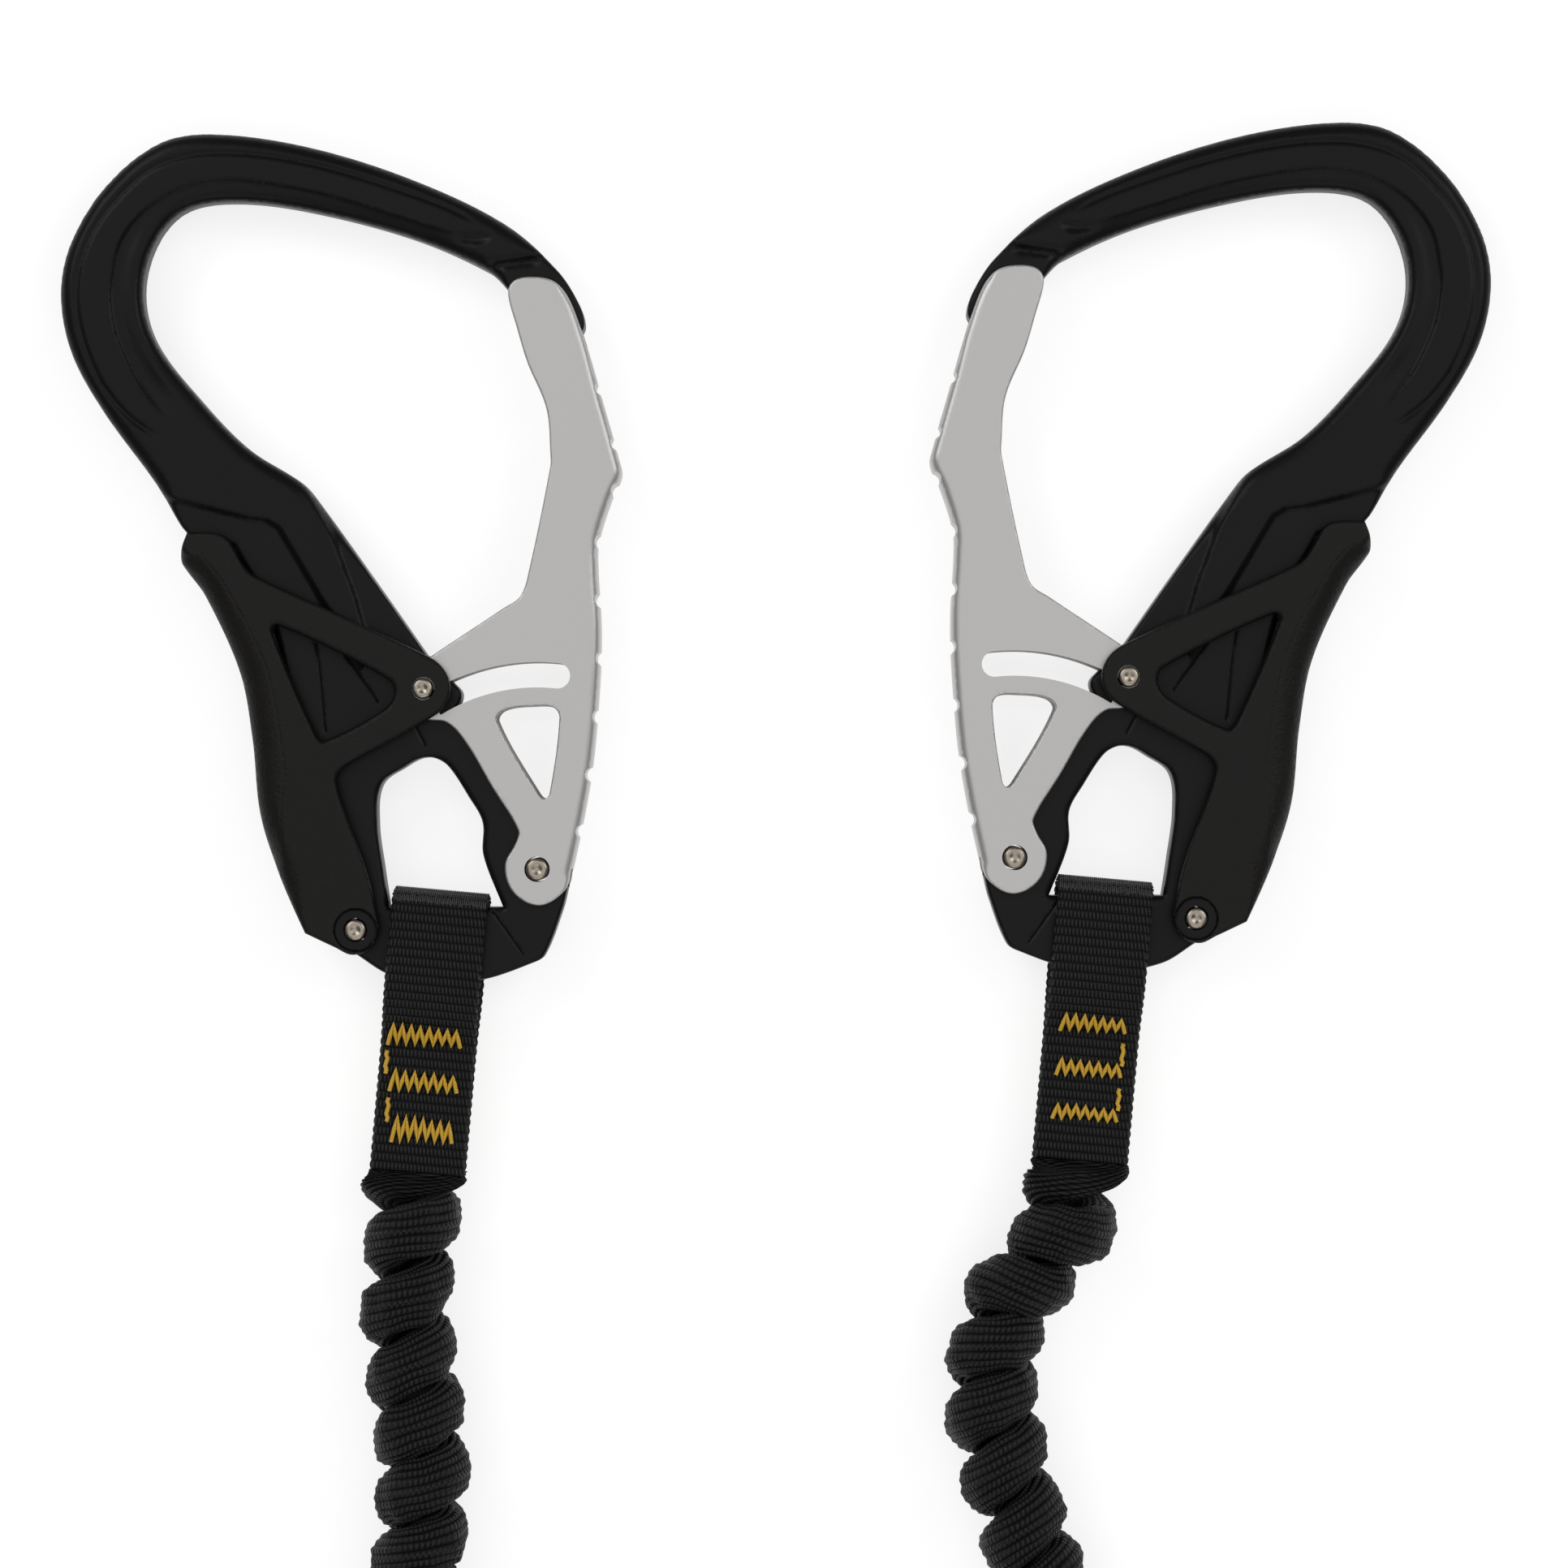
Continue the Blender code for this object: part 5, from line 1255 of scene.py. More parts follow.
def swept_mesh(name, line, count, section, rib, yarn, end_yarn):
    """A closed tape along a line in the Y-Z plane. section(centre, gone) gives the places
    across it and the heights over the line of one ring."""
    total = lengths_of(line)[-1]
    gone = [total * index / (count - 1) for index in range(count)]
    centres = even_points(line, count)
    points = []
    for index, centre in enumerate(centres):
        ahead = centres[min(index + 1, count - 1)] - centres[max(index - 1, 0)]
        up = Vector((1, 0, 0)).cross(ahead.normalized()).normalized()
        points += [centre + Vector((x, 0, 0)) + up * lift
                   for x, lift in section(centre, gone[index])]
    ring = len(points) // count
    ends = end_faces(count, ring)
    uvs = ring_uvs(count - 1, ring, lambda r: gone[r] / rib,
                   lambda r, c: points[r * ring + c % ring].x / yarn)
    uvs += [tuple((points[i].x / yarn, points[i].z / end_yarn) for i in end) for end in ends]
    return closed_mesh(name, points, ring_faces(count, ring) + ends, uvs, sharp=75)


def tape_mesh(name, line, sizes, columns=92, under=10):
    """A ribbed tape whose outer surface follows the line in its own Y-Z plane."""
    half = sizes.webbing_width / 2 - TAPE_INSET

    def section(centre, gone):
        edge = half + TAPE_EDGE_WAVE * math.sin(math.pi * (gone / sizes.webbing_rib % 1))
        fold = float(smooth_share(centre.y / 0.0020))
        for step in range(columns):
            place = 2 * step / (columns - 1) - 1
            across = math.cos(math.pi * (1 - step / (columns - 1))) * 0.06 + place * 0.94
            across = edge * max(-1, min(1, across))
            depth = max(0.0, abs(across) - edge + TAPE_SOFT_EDGE) / TAPE_SOFT_EDGE
            drop = TAPE_EDGE_DROP * depth ** 2 * (1 - 0.7 * fold)
            lift = TAPE_RELIEF * woven_height(across, gone, sizes) * (1 - 0.6 * depth)
            yield across, lift - TAPE_SINK - drop
        for step in range(under):
            yield edge * (1 - 2 * (step + 0.5) / under) * 0.96, 0.0001 - sizes.webbing_thickness

    return swept_mesh(name, line, round(lengths_of(line)[-1] / TAPE_STEP), section,
                      sizes.webbing_rib, sizes.webbing_yarn, math.inf)


class LANYARD_OT_webbing_loops(bpy.types.Operator):
    """Weave the sewn webbing loops round the hooks' bottom bars"""

    bl_idname = "lanyard.webbing_loops"
    bl_label = "Webbing loops"

    def execute(self, context):
        sizes = context.scene.lanyard_sizes
        line = tape_line(LOOP_SURFACE)
        for side in SIDES:
            mesh = tape_mesh(f"{side}_sewn_loop", line, sizes)
            mesh.transform(loop_matrix(side))
            loop = object_of(f"{side}_sewn_loop", mesh, finish("black_webbing"))
            shown(loop, "lanyard", f"{side}_webbing_loop")
            self.worn_fold(side, line, sizes.webbing_width / 2 - WORN_INSET)
        return {"FINISHED"}

    def worn_fold(self, side, line, half_width):
        """Short paler yarns that stand a little proud where the tape turns over the bar."""
        gone = lengths_of(line)
        count = round(2 * half_width / WORN_PITCH)
        place = loop_matrix(side)
        yarns = []
        for index in range(count):
            x = half_width * (2 * index / (count - 1) - 1)
            for row, (start, end) in enumerate(WORN_ROWS):
                for face in (1, -1):
                    shake = WORN_SHAKE * noise.noise(Vector((index * 1.9, row * 4.3, face)))
                    yarn = []
                    for step in range(4):
                        distance = start + (end - start) * step / 3 + shake
                        spot, _ = place_along(line, gone, gone[-1] / 2 + face * distance)
                        out = (spot - Vector((0, -0.002, 0))).normalized()
                        lift = WORN_LIFT if step in (1, 2) else -WORN_LIFT
                        yarn.append(place @ (spot + out * lift + Vector((x, 0, 0))))
                    yarns.append(yarn)
        sewn(f"{side}_worn_fold", yarns, WORN_RADIUS, finish("worn_thread"))


def loop_height(distance):
    """Height of the loop's face over its middle plane, at a place along it."""
    return float(np.interp(distance, *zip(*LOOP_SURFACE)))


class LANYARD_OT_bar_tacks(bpy.types.Operator):
    """Sew the gold bar tacks through the webbing loops"""

    bl_idname = "lanyard.bar_tacks"
    bl_label = "Bar tacks"

    def execute(self, context):
        sizes = context.scene.lanyard_sizes
        for side in SIDES:
            lines = []
            for face in (1, -1):
                lines += [self.zigzag(number, face, round(2 * tack[2] / sizes.tack_pitch), *tack)
                          for number, tack in enumerate(TACKS[side])]
                edge = -1 if side == "left" else 1
                for lower, upper in zip(TACKS[side][1:], TACKS[side]):
                    lines.append(self.run(face, upper[0] + edge * upper[2], lower[1], upper[1]))
            place = loop_matrix(side)
            lines = [[place @ p for p in line] for line in lines]
            sewn(f"{side}_bar_tacks", lines, sizes.thread_radius, finish("gold_thread"))
        return {"FINISHED"}

    def zigzag(self, number, face, count, middle, row, half_width, half_height):
        """One tack: stitches to and fro over the row, each with a raised middle."""
        line = []
        for index in range(2 * count + 1):
            share = index / (2 * count)
            reach = half_height * (1.1 - 0.3 * share)
            y = row + (reach if index % 2 else -reach)
            y += TACK_SHAKE * noise.noise(Vector((index * 1.7, number * 5.1, face)))
            line.append(Vector((middle + half_width * (2 * share - 1), y,
                                face * (loop_height(y) + TACK_LIFTS[index % 2]))))
        raised = Vector((0, 0, face * TACK_RAISE))
        return [p for here, there in zip(line, line[1:])
                for p in (here, here.lerp(there, 0.5) + raised)] + [line[-1]]

    def run(self, face, edge, low, high):
        """The thread that runs from one tack up to the next along their edge."""
        line = []
        for index in range(7):
            y = low + (high - low) * (0.12 + 0.5 * index / 6)
            line.append(Vector((edge + 0.0002 * math.sin(index * 2.1), y,
                                face * (loop_height(y) + TACK_RUN_LIFT))))
        return line


def smooth_copy(side, node, name, material, body, angle):
    """A merged and smoothed copy of a CAD node, shown in its place."""
    mesh = frame["nodes"][f"{side}_{node}"].data.copy()
    mesh.name = f"{side}_{name}_{node}"
    shape = bmesh.new()
    shape.from_mesh(mesh)
    bmesh.ops.remove_doubles(shape, verts=shape.verts, dist=2e-6)
    bmesh.ops.dissolve_limit(shape, angle_limit=math.radians(0.4), verts=shape.verts,
                             edges=shape.edges)
    for face in shape.faces:
        face.smooth = True
    shape.to_mesh(mesh)
    shape.free()
    mesh.set_sharp_from_angle(angle=math.radians(angle))
    made = object_of(f"{side}_{name}_{node}", mesh, finish(material))
    even_normals(made)
    shown(made, body, f"{side}_{node}")


class LANYARD_OT_hooks(bpy.types.Operator):
    """Forge the hooks: grooved round-rimmed faces with lower ones under gate and lever"""

    bl_idname = "lanyard.hooks"
    bl_label = "Forged hooks"

    def execute(self, context):
        outline = Rim(sized(FRAME_SHARES), EDGE_STEP,
                      rim_between((OUTER_ROUND_POINTS, INNER_ROUND_POINTS), *FRAME_ROUNDING))
        eye = Rim(sized(EYE_SHARES), FINE_STEP, even_rim(*EYE_ROUNDING), hole=True)
        outer_line, land_line = (open_line(shares, EDGE_STEP)
                                 for shares in (OUTER_GROOVE_SHARES, INNER_GROOVE_SHARES))
        faces = [sized_line(shares) for shares in (LOW_FACE_SHARES, NOSE_FACE_SHARES)]
        slopes = [fine_line([(p, True) for p in line], SLOPE_STEP)[0] for line in faces]
        faces = [pairs(line) for line in faces]
        creases, flutes = ([open_line(row, FINE_STEP) for row in rows]
                           for rows in (CREASE_SHARES, FLUTE_SHARES))
        features = [beside(line, offsets, closed) for lines, offsets, closed in (
            ([outer_line], either_side(*GROOVE_ROWS), False),
            ([land_line], LAND_ROWS, False),
            (slopes, either_side(*SLOPE_ROWS), True),
            (creases, either_side(*CREASE_ROWS), False),
            (flutes, either_side(*FLUTE_ROWS), False),
        ) for line in lines]

        def tops(spots):
            top = np.full(len(spots), FRAME_HALF)
            for line in faces:
                distance = nearest(spots, line, True)[0]
                signed = np.where(inside(spots, line), -distance, distance)
                rise = smooth_share((signed + SLOPE_START) / SLOPE_WIDTH)
                top = np.minimum(top, LOW_FACE_HALF + (FRAME_HALF - LOW_FACE_HALF) * rise)
            top -= self.groove(spots, outer_line, *OUTER_GROOVE)
            distance, segment, share, side = nearest(spots, land_line, False)
            into = distance * side
            part = np.clip(into / LAND_WIDTH, 0, 1)
            valley = np.sqrt(part) * (1 - part) * 2.6 * smooth_share(into / LAND_RISE)
            place = segment + share
            ends = smooth_share(np.minimum(place, len(land_line) - 1 - place)
                                / LAND_FADE_POINTS)
            top -= LAND_DEPTH * valley * ends
            for lines, values in ((creases, CREASE), (flutes, FLUTE)):
                for line in lines:
                    top -= self.groove(spots, line, *values)
            return top

        middle = Vector((0, 0))
        pivot = Vector(LEVER_PIVOT_SHARES) * CARABINER_LENGTH
        bores = [Rim([(p, False) for p in ring_line(centre, radius, 16)], EDGE_STEP,
                     even_rim(*BORE_ROUNDING), hole=True)
                 for centre, radius in ((middle, GATE_BORE_RADIUS), (pivot, LEVER_BORE_RADIUS))]
        mesh = relief_mesh("forged_hook", [outline, eye, *bores], HOOK_GRID, features, tops)
        mesh = carved("forged_hook", mesh, [
            prism("spring_way", keyhole_line(centre, reach, SPRING_WAY_RADIUS),
                  -SPRING_WAY_HALF, SPRING_WAY_HALF)
            for centre, reach in ((middle, SPRING_WAY_REACH), (pivot, -SPRING_WAY_REACH))])
        place_twins("forged_hook", mesh, "frame", "anodised_alloy", "lanyard",
                    HOOK_SHARP)
        return {"FINISHED"}

    def groove(self, spots, line, depth, width, fade):
        """The depth of a soft groove along the line, with ends that fade out."""
        distance, segment, share, _ = nearest(spots, line, False)
        lengths = np.concatenate(([0], np.cumsum(np.linalg.norm(np.diff(line, axis=0), axis=1))))
        segment = segment.astype(int)
        along = lengths[segment] + share * (lengths[segment + 1] - lengths[segment])
        ends = smooth_share(np.minimum(along, lengths[-1] - along) / fade)
        return depth * np.exp(-(distance / width)**2) * ends


class LANYARD_OT_gates(bpy.types.Operator):
    """Fold the gates: two plates with a bent outer edge, a curved slot and a window"""

    bl_idname = "lanyard.gates"
    bl_label = "Gates"

    def execute(self, context):
        first, last = GATE_BEND_POINTS
        folded = rim_between([(first - 2, last)], *GATE_ROUNDING)

        def bend(places):
            width, drop = folded(places)
            web = smooth_share(places - first + 1)
            return width, np.minimum(drop, BEND_DROP[0] + BEND_DROP[1] * web)

        outline = Rim(sized(GATE_SHARES), EDGE_STEP, bend)
        window = Rim(sized(GATE_WINDOW_SHARES), FINE_STEP, even_rim(*GATE_WINDOW_ROUNDING),
                     hole=True)
        mesh = relief_mesh("folded_gate", [outline, window], GATE_GRID, [],
                           lambda spots: np.full(len(spots), GATE_HALF))
        channel = [*open_line(GATE_CHANNEL_SHARES[:CHANNEL_BEND_POINTS], CHANNEL_STEP),
                   *sized_line(GATE_CHANNEL_SHARES[CHANNEL_BEND_POINTS:])]
        through = (-GATE_CUT, GATE_CUT)
        for cutters in (
            [prism("channel", channel, -GATE_CHANNEL_HALF, GATE_CHANNEL_HALF)],
            [prism("slot", self.slot_line(), *through),
             prism("bore", ring_line(Vector((0, 0)), GATE_BORE_RADIUS, 32), *through)],
            [prism("notch", ring_line(p + Vector((NOTCH_INSET, 0)), NOTCH_RADIUS, 20), *through)
             for p in sized_line(NOTCH_SHARES)],
        ):
            mesh = carved("folded_gate", mesh, cutters)
        place_twins("folded_gate", mesh, "gate", "blasted_sheet", "{side}_gate",
                    GATE_SHARP)
        return {"FINISHED"}

    def slot_line(self):
        """The curved slot about the gate's pivot, open at its left end."""
        middle, half = SLOT_RADIUS_SHARE * CARABINER_LENGTH, SLOT_HALF_WIDTH
        first, last = SLOT_ANGLES
        rays = [Vector((math.cos(angle), math.sin(angle)))
                for angle in (first + (last - first) * index / 40 for index in range(41))]
        start = rays[0]
        across = Vector((start.y, -start.x))
        end = [start * (middle - half * math.cos(turn)) + across * half * math.sin(turn)
               for turn in (math.pi * index / 16 for index in range(1, 16))]
        return ([ray * (middle + half) for ray in rays]
                + [ray * (middle - half) for ray in rays[::-1]] + end)


class LANYARD_OT_levers(bpy.types.Operator):
    """Mould the palm levers: a soft palm side with its seam, a window and a washer seat"""

    bl_idname = "lanyard.levers"
    bl_label = "Palm levers"

    def execute(self, context):
        first, last = LEVER_PALM_POINTS
        outline = Rim(sized(LEVER_SHARES), EDGE_STEP,
                      rim_between([LEVER_PALM_POINTS], *LEVER_ROUNDING))
        window = Rim(sized(LEVER_WINDOW_SHARES), FINE_STEP, even_rim(*LEVER_WINDOW_ROUNDING),
                     hole=True)
        pivot, latch = (Vector(s) * CARABINER_LENGTH for s in (LEVER_PIVOT_SHARES, LATCH_SHARES))
        rings = [pairs(ring_line(pivot, radius, 48)) for radius in SEAT_RINGS]
        edge = open_line(LEVER_SHARES[first:last + 1], EDGE_STEP)
        widths = np.interp(np.linspace(0, 1, len(edge)), *PALM_SEAM)
        seam = [edge - sideways(edge, False) * (widths + away)[:, None]
                for away in either_side(*SEAM_ROWS)]

        def tops(spots):
            away = np.linalg.norm(spots - pairs([pivot]), axis=1)
            top = LEVER_HALF - SEAT_DEPTH * (1 - smooth_share((away - SEAT_RADIUS) / SEAT_WALL))
            distance, segment, share, _ = nearest(spots, edge, False)
            place = (segment + share) / (len(edge) - 1)
            width = np.interp(place, *PALM_SEAM)
            ends = smooth_share(np.minimum(place, 1 - place) / PALM_FADE)
            top -= PALM_DROP * np.clip(1 - distance / width, 0, 1) * ends
            return top - SEAM_DEPTH * np.exp(-((distance - width) / SEAM_HALF)**2) * ends

        mesh = relief_mesh("moulded_lever", [outline, window], LEVER_GRID, rings + seam, tops)
        for cutters in (
            [("hollow", sized_line(LEVER_HOLLOW_SHARES), LEVER_HOLLOW_HALF)],
            [("arms", sized_line(LEVER_ARM_HOLLOW_SHARES), LEVER_ARM_HOLLOW_HALF)],
            [("bore", ring_line(pivot, LEVER_BORE_RADIUS, 32), LEVER_CUT),
             ("bore", ring_line(latch, LATCH_BORE_RADIUS, 32), LEVER_CUT)],
        ):
            mesh = carved("moulded_lever", mesh, [prism(name, line, -half, half)
                                                  for name, line, half in cutters])
        place_twins("moulded_lever", mesh, "palm_lever", "moulded_plastic", "{side}_lever",
                    LEVER_SHARP)
        return {"FINISHED"}


class LANYARD_OT_rivets(bpy.types.Operator):
    """Turn the rivets and washers"""

    bl_idname = "lanyard.rivets"
    bl_label = "Rivets"

    def execute(self, context):
        for side in SIDES:
            gate = joint_place(f"{side}_gate_swing")
            lever = joint_place(f"{side}_lever_squeeze")
            for name, place, radius in (("gate_rivet", gate, GATE_RIVET_RADIUS),
                                        ("lever_rivet", lever, LEVER_RIVET_RADIUS)):
                low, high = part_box(f"{side}_{name}")
                half = (high.z - low.z) / 2
                self.add(side, name, Vector((place.x, place.y, gate.z)), radius, -half, half,
                         "lanyard")
            for name in ("latch_rivet_top", "latch_rivet_bottom"):
                low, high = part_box(f"{side}_{name}")
                middle = (low + high) / 2
                upward = high.z > gate.z
                self.add(side, name, Vector((middle.x, middle.y, gate.z)), LATCH_RIVET_RADIUS,
                         low.z - gate.z, high.z - gate.z, f"{side}_lever",
                         dish=(not upward, upward))
            for name, material in (("latch_pin", "turned_steel"),
                                   ("lever_washer_top", "anodised_alloy"),
                                   ("lever_washer_bottom", "anodised_alloy")):
                smooth_copy(side, name, "turned", material, f"{side}_lever", 40)
        return {"FINISHED"}

    def add(self, side, name, place, radius, low, high, body, dish=(True, True)):
        """A rivet whose dished heads have a sunk middle and a rolled edge."""
        dished = ((0.0001, 0.00040), (radius * 0.28, 0.00030), (radius * 0.46, 0.00006),
                  (radius * 0.58, 0), (radius * 0.74, 0.00004), (radius * 0.92, 0.00022),
                  (radius, 0.00050))
        plain = ((radius - 0.0003, 0), (radius, 0.0003))
        profile = [(reach, low + sunk) for reach, sunk in (dished if dish[0] else plain)]
        profile += [(reach, high - sunk) for reach, sunk in (dished if dish[1] else plain)][::-1]
        mesh = turned_mesh(f"{side}_turned_{name}", profile, 40, place)
        rivet = object_of(f"{side}_turned_{name}", mesh, finish("turned_steel"))
        shown(rivet, body, f"{side}_{name}")


class LANYARD_OT_springs(bpy.types.Operator):
    """Finish the torsion springs in drawn wire"""

    bl_idname = "lanyard.springs"
    bl_label = "Springs"

    def execute(self, context):
        for side in SIDES:
            for name in ("gate_spring", "lever_spring"):
                smooth_copy(side, name, "wound", "drawn_wire", "lanyard", 80)
        return {"FINISHED"}


def strap_mesh(name, line, half_width, thickness, rib, yarn, columns=12, steps=6):
    """A ribbed strap swept along a line in the Y-Z plane, which is the middle of its
    thickness, with round edges and ribs across both faces."""
    half = thickness / 2
    across = [half_width * (2 * i / (columns - 1) - 1) for i in range(columns)]

    def section(centre, gone):
        wave = abs(math.sin(math.pi * gone / rib)) ** 0.6
        for face, row in ((1, across), (-1, across[::-1])):
            for x in row:
                edge = max(0.0, abs(x) - half_width + half) / half
                yield x, face * (half - STRAP_RELIEF * (1 - wave)) * (1 - 0.75 * edge ** 2)

    return swept_mesh(name, line, round(lengths_of(line)[-1] / rib * steps), section, rib,
                      yarn, yarn)


def joined(name, meshes):
    """One mesh of several, each of which keeps its weave coordinates."""
    shape = bmesh.new()
    for mesh in meshes:
        shape.from_mesh(mesh)
    mesh = bpy.data.meshes.new(name)
    shape.to_mesh(mesh)
    shape.free()
    mesh.set_sharp_from_angle(angle=math.radians(75))
    return mesh


def sleeve_line(half_x, half_z, radius, count):
    """A rounded rectangle round the Y axis, in equal steps."""
    corners = []
    for quarter, (sx, sz) in enumerate(((1, 1), (-1, 1), (-1, -1), (1, -1))):
        for step in range(13):
            turn = math.pi / 2 * (quarter + step / 12)
            corners.append(Vector((sx * (half_x - radius) + radius * math.cos(turn), 0,
                                   sz * (half_z - radius) + radius * math.sin(turn))))
    return even_points(corners + [corners[0]], count + 1)[:-1]


def stitches(points, length, gap, lift):
    """Run stitches along a closed or open row of points, lifted in their middles."""
    count = max(2, int(lengths_of(points)[-1] / (length + gap)))
    spots = even_points(points, count * STITCH_STEPS + 1)
    sewn_steps = STITCH_STEPS - 2
    lines = []
    for first in range(0, count * STITCH_STEPS, STITCH_STEPS):
        line = []
        for number, point in enumerate(spots[first:first + sewn_steps + 1]):
            out = Vector((point.x, 0, point.z - 0.013)).normalized()
            line.append(point + out * (lift * math.sin(math.pi * number / sewn_steps) - 0.0001))
        lines.append(line)
    return lines


class LANYARD_OT_absorber(bpy.types.Operator):
    """Sew the energy absorber's sleeve and fold its tear webbing"""

    bl_idname = "lanyard.absorber"
    bl_label = "Energy absorber"

    def execute(self, context):
        self.sleeve(*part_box("absorber_pouch"), context.scene.lanyard_sizes.hem)
        low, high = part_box("tear_webbing")
        mesh = strap_mesh("folded_tear_webbing", self.folds(low, high), (high[0] - low[0]) / 2,
                          TEAR_THICKNESS, TEAR_RIB, CLOTH_YARN, 12, 5)
        mesh.transform(Matrix.Translation(((high[0] + low[0]) / 2, 0, 0)))
        stack = object_of("folded_tear_webbing", mesh, finish("yellow_tape"))
        shown(stack, "lanyard", "tear_webbing")
        return {"FINISHED"}

    def folds(self, low, high):
        """The middle line of the tear webbing: layers to and fro, with round turns."""
        pitch = (high[2] - low[2] - TEAR_THICKNESS) / (TEAR_LAYERS - 1)
        inset = (pitch + TEAR_THICKNESS) / 2
        line = []
        for layer in range(TEAR_LAYERS):
            height = low[2] + TEAR_THICKNESS / 2 + pitch * layer
            ahead = -1 if layer % 2 else 1
            first, last = (low[1], high[1])[::ahead]
            first += ahead * inset if layer else 0
            last -= ahead * inset if layer < TEAR_LAYERS - 1 else 0
            line += [Vector((0, first + (last - first) * i / 8, height)) for i in range(9)]
            if layer < TEAR_LAYERS - 1:
                line += [Vector((0, last + ahead * math.cos(angle) * pitch / 2,
                                 height + pitch / 2 * (1 + math.sin(angle))))
                         for angle in (math.pi * (step / 8 - 0.5) for step in range(1, 8))]
        return line

    def sleeve(self, low, high, hem_length):
        """A closed sleeve of cloth: a soft bulge, thick hems, a lap seam and its stitches."""
        count, rows = SLEEVE_SIDES, SLEEVE_ROWS
        half_x, half_z = (high[0] - low[0]) / 2, (high[2] - low[2]) / 2
        middle = Vector(((high[0] + low[0]) / 2, 0, (high[2] + low[2]) / 2))
        outer = sleeve_line(half_x, half_z, SLEEVE_RADIUS, count)
        inner = sleeve_line(half_x - SLEEVE_WALL, half_z - SLEEVE_WALL,
                            SLEEVE_RADIUS - SLEEVE_WALL, count)
        length = high[1] - low[1]
        points = []
        for row in range(rows):
            share = row / (rows - 1)
            y = low[1] + length * share
            edge = min(share, 1 - share) * length
            hem = HEM_LIFT * (1 - float(smooth_share((edge - hem_length) / 0.0008)))
            swell = SWELL_LIFT * math.sin(math.pi * share) ** 0.7
            lip = -LIP_SINK * (1 - min(1, edge / CLOTH_STEP)) ** 2
            for spot in outer:
                out = Vector((spot.x / half_x ** 1.6, 0, spot.z / half_z ** 1.6)).normalized()
                lap = (spot.z > 0) * LAP_LIFT * float(
                    smooth_share((LAP_HALF - abs(spot.x)) / CLOTH_STEP))
                crease = noise.noise(Vector((spot.x * 60, y * 45, spot.z * 60)))
                crease += 0.5 * noise.noise(Vector((spot.x * 150, y * 110, spot.z * 150)))
                point = middle + spot + Vector((0, y, 0))
                point += out * (hem + swell + lap + lip + CREASE_LIFT * crease * (edge > 0.002))
                point.z = max(point.z, 0.00002)
                points.append(point)
        for row in range(rows - 1, -1, -1):
            y = low[1] + length * (row / (rows - 1))
            points += [middle + spot + Vector((0, y, 0)) for spot in inner]
        layers = 2 * rows
        faces = [tuple(i % (layers * count) for i in face)
                 for face in ring_faces(layers + 1, count)]
        girth = lengths_of(outer + [outer[0]])
        uvs = ring_uvs(layers, count, lambda r: length * max(0, min(r, layers - 1 - r))
                       / (rows - 1) / CLOTH_YARN, lambda r, c: girth[c] / CLOTH_YARN)
        mesh = closed_mesh("absorber_cover", points, faces, uvs, sharp=60)
        cover = object_of("absorber_cover", mesh, finish("plain_cloth"))
        shown(cover, "lanyard", "absorber_pouch")
        lines = []
        for share in HEM_SEAMS:
            first = round(share * (rows - 1)) * count
            line = [p for p in points[first:first + count] if p.z > 0.0012]
            start = max(range(len(line)), key=lambda i: (line[i] - line[i - 1]).length)
            lines += stitches(line[start:] + line[:start], *STITCH)
        for x in LAP_SEAMS:
            index = min(range(count), key=lambda i: abs(outer[i].x - x) + (outer[i].z < 0))
            lines += stitches([points[row * count + index]
                               for row in range(LAP_SEAM_START, rows - LAP_SEAM_START)], *STITCH)
        seams = sewn("absorber_seams", lines, SEAM_RADIUS, finish("black_thread"))


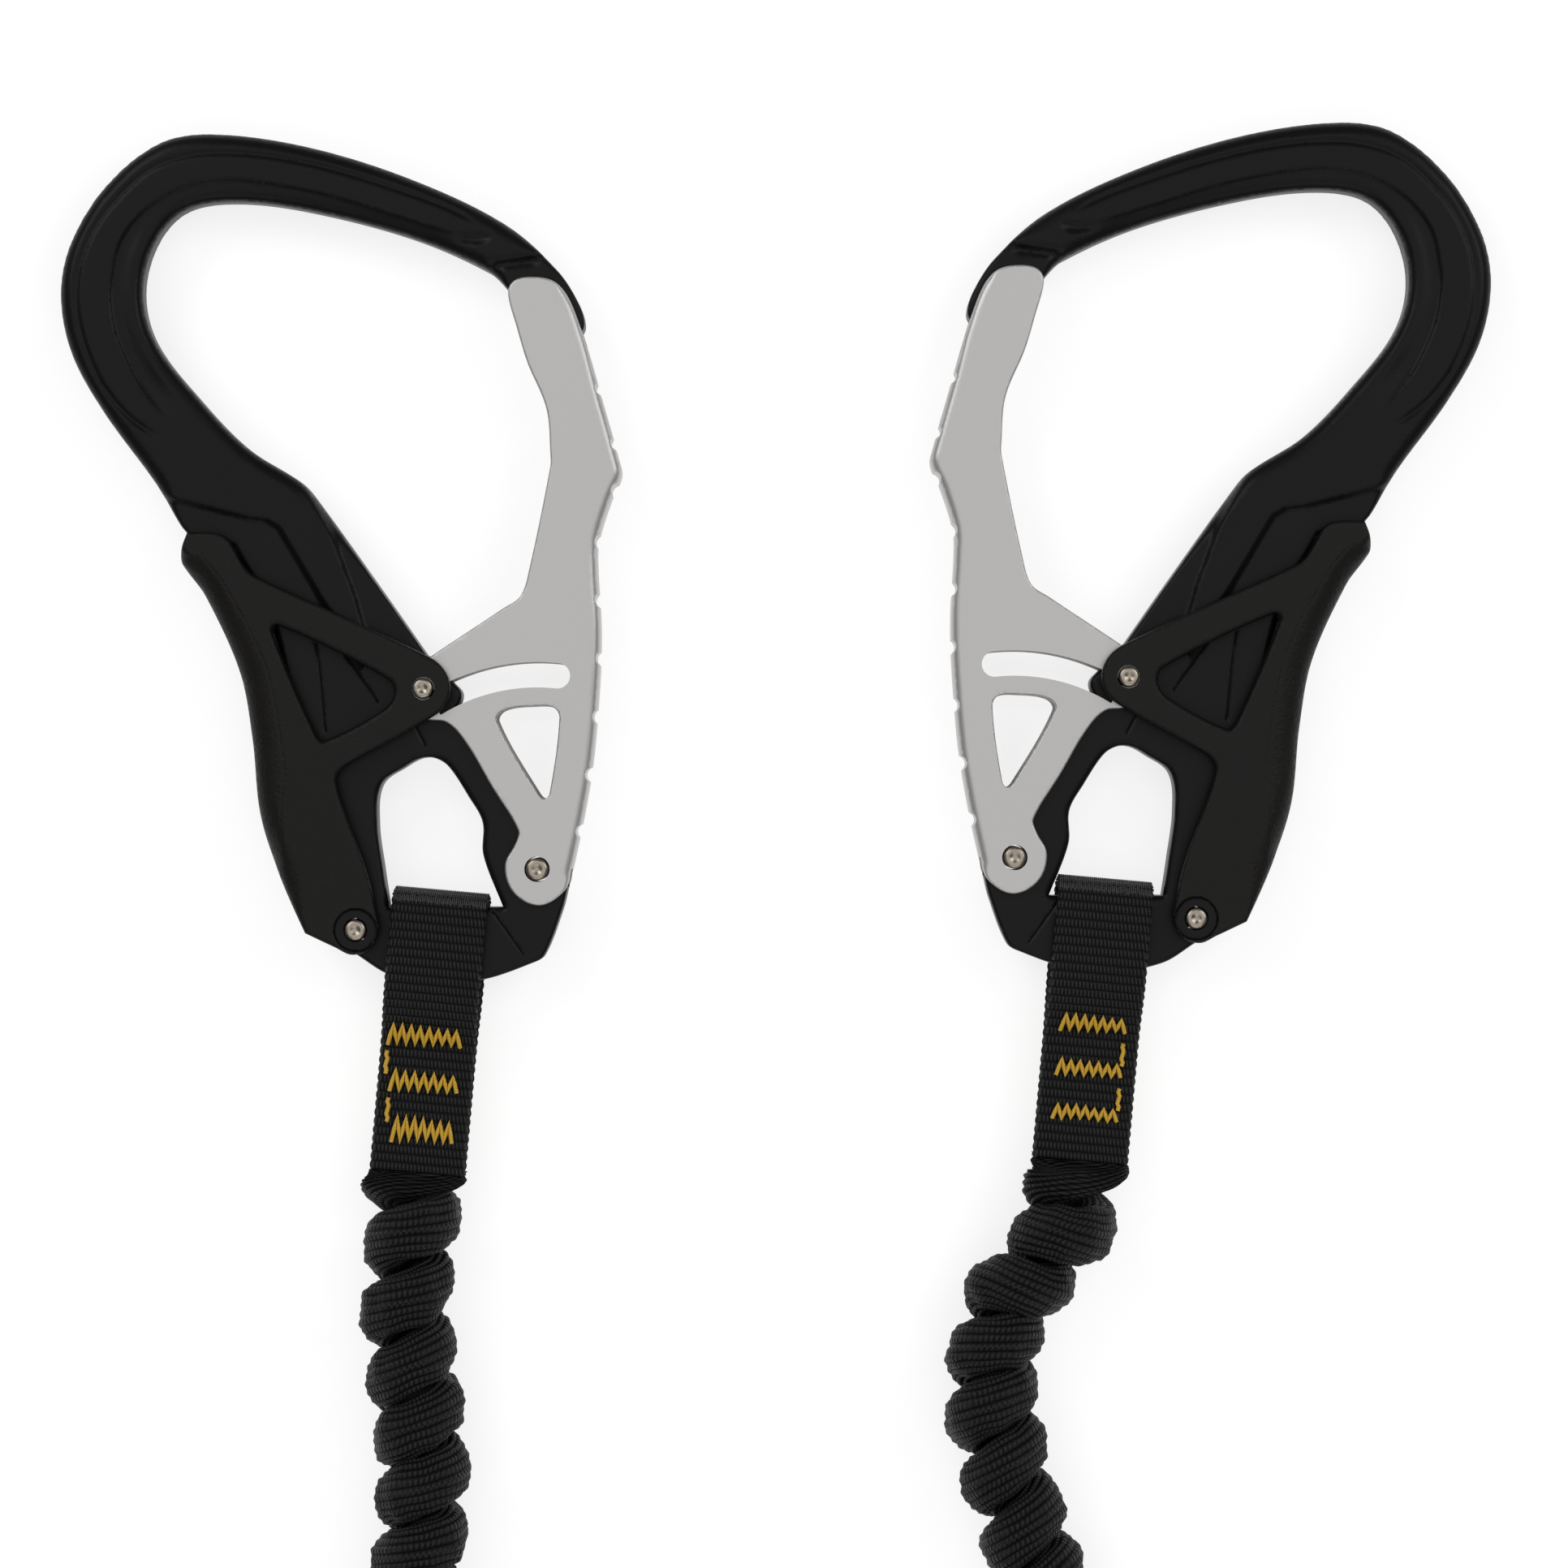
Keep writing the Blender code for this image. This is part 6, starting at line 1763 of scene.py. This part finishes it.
class LANYARD_OT_harness_loop(bpy.types.Operator):
    """Weave the harness loop and sew it to the tear webbing"""

    bl_idname = "lanyard.harness_loop"
    bl_label = "Harness loop"

    def execute(self, context):
        sizes = context.scene.lanyard_sizes
        weave = (sizes.webbing_rib, sizes.webbing_yarn, 26, 6)
        low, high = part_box("harness_loop")
        thick = sizes.webbing_thickness
        length = high[1] - thick - low[1]
        mouth = (high[2] - low[2]) / 2 - thick
        side = [Vector((0, low[1] + length * along, mouth * share + thick / 2))
                for along, share in HARNESS_OPENING_SHARES]
        tip = Vector((0, high[1] - thick / 2, 0))
        upper = side + [Vector((0, tip.y - 0.0004, mouth * 0.36)), tip]
        line = smooth_points(upper + [Vector((0, p.y, -p.z)) for p in upper[-2::-1]], 8)
        half_width = (high[0] - low[0]) / 2
        meshes = [strap_mesh("harness_tape", line, half_width, thick - 0.0001, *weave)]
        reach, middle, thickness = HARNESS_CORE_SHARES
        for face in (1, -1):
            core = [Vector((0, low[1] + 0.0002 + length * reach * i / 8, face * mouth * middle))
                    for i in range(9)]
            meshes.append(strap_mesh("harness_core", core, half_width - 0.0003,
                                     mouth * thickness, *weave))
        mesh = joined("woven_harness_loop", meshes)
        centre = Vector(((high[0] + low[0]) / 2, 0, (low[2] + high[2]) / 2))
        mesh.transform(Matrix.Translation(centre))
        loop = object_of("woven_harness_loop", mesh, finish("black_webbing"))
        shown(loop, "lanyard", "harness_loop")
        height = mouth * HARNESS_OPENING_SHARES[0][1] + thick + 0.0002
        half, reach, count = HARNESS_TACK
        lines = [[centre + Vector((half * (2 * index / count - 1),
                                   low[1] + length * row + (reach if index % 2 else -reach),
                                   face * height)) for index in range(count + 1)]
                 for face in (1, -1) for row in HARNESS_TACK_SHARES]
        sewn("harness_bar_tacks", lines, sizes.thread_radius, finish("gold_thread"))
        return {"FINISHED"}


class LANYARD_PT_panel(bpy.types.Panel):
    """Lists the lanyard's pieces"""

    bl_idname = "LANYARD_PT_panel"
    bl_label = "Lanyard"
    bl_space_type = "VIEW_3D"
    bl_region_type = "UI"
    bl_category = "Lanyard"

    def draw(self, context):
        for piece in PIECES:
            self.layout.operator(piece.bl_idname)
        for settings in (context.scene.lanyard_sizes, context.scene.lanyard_colours):
            for name in settings.bl_rna.properties.keys():
                if name not in ("rna_type", "name"):
                    self.layout.prop(settings, name)


PIECES = (
    LANYARD_OT_stage, LANYARD_OT_elastic_arms, LANYARD_OT_webbing_loops, LANYARD_OT_bar_tacks,
    LANYARD_OT_hooks, LANYARD_OT_gates, LANYARD_OT_levers, LANYARD_OT_rivets,
    LANYARD_OT_springs, LANYARD_OT_absorber, LANYARD_OT_harness_loop,
)
CLASSES = (LanyardSizes, LanyardColours, *PIECES, LANYARD_PT_panel)


def register():
    for made in CLASSES:
        bpy.utils.register_class(made)
    bpy.types.Scene.lanyard_sizes = bpy.props.PointerProperty(type=LanyardSizes)
    bpy.types.Scene.lanyard_colours = bpy.props.PointerProperty(type=LanyardColours)


def unregister():
    del bpy.types.Scene.lanyard_colours
    del bpy.types.Scene.lanyard_sizes
    for made in reversed(CLASSES):
        bpy.utils.unregister_class(made)


def main():
    register()
    bpy.ops.lanyard.stage()
    bpy.ops.lanyard.elastic_arms()
    bpy.ops.lanyard.webbing_loops()
    bpy.ops.lanyard.bar_tacks()
    bpy.ops.lanyard.hooks()
    bpy.ops.lanyard.gates()
    bpy.ops.lanyard.levers()
    bpy.ops.lanyard.rivets()
    bpy.ops.lanyard.springs()
    bpy.ops.lanyard.absorber()
    bpy.ops.lanyard.harness_loop()


if __name__ == "__main__":
    main()
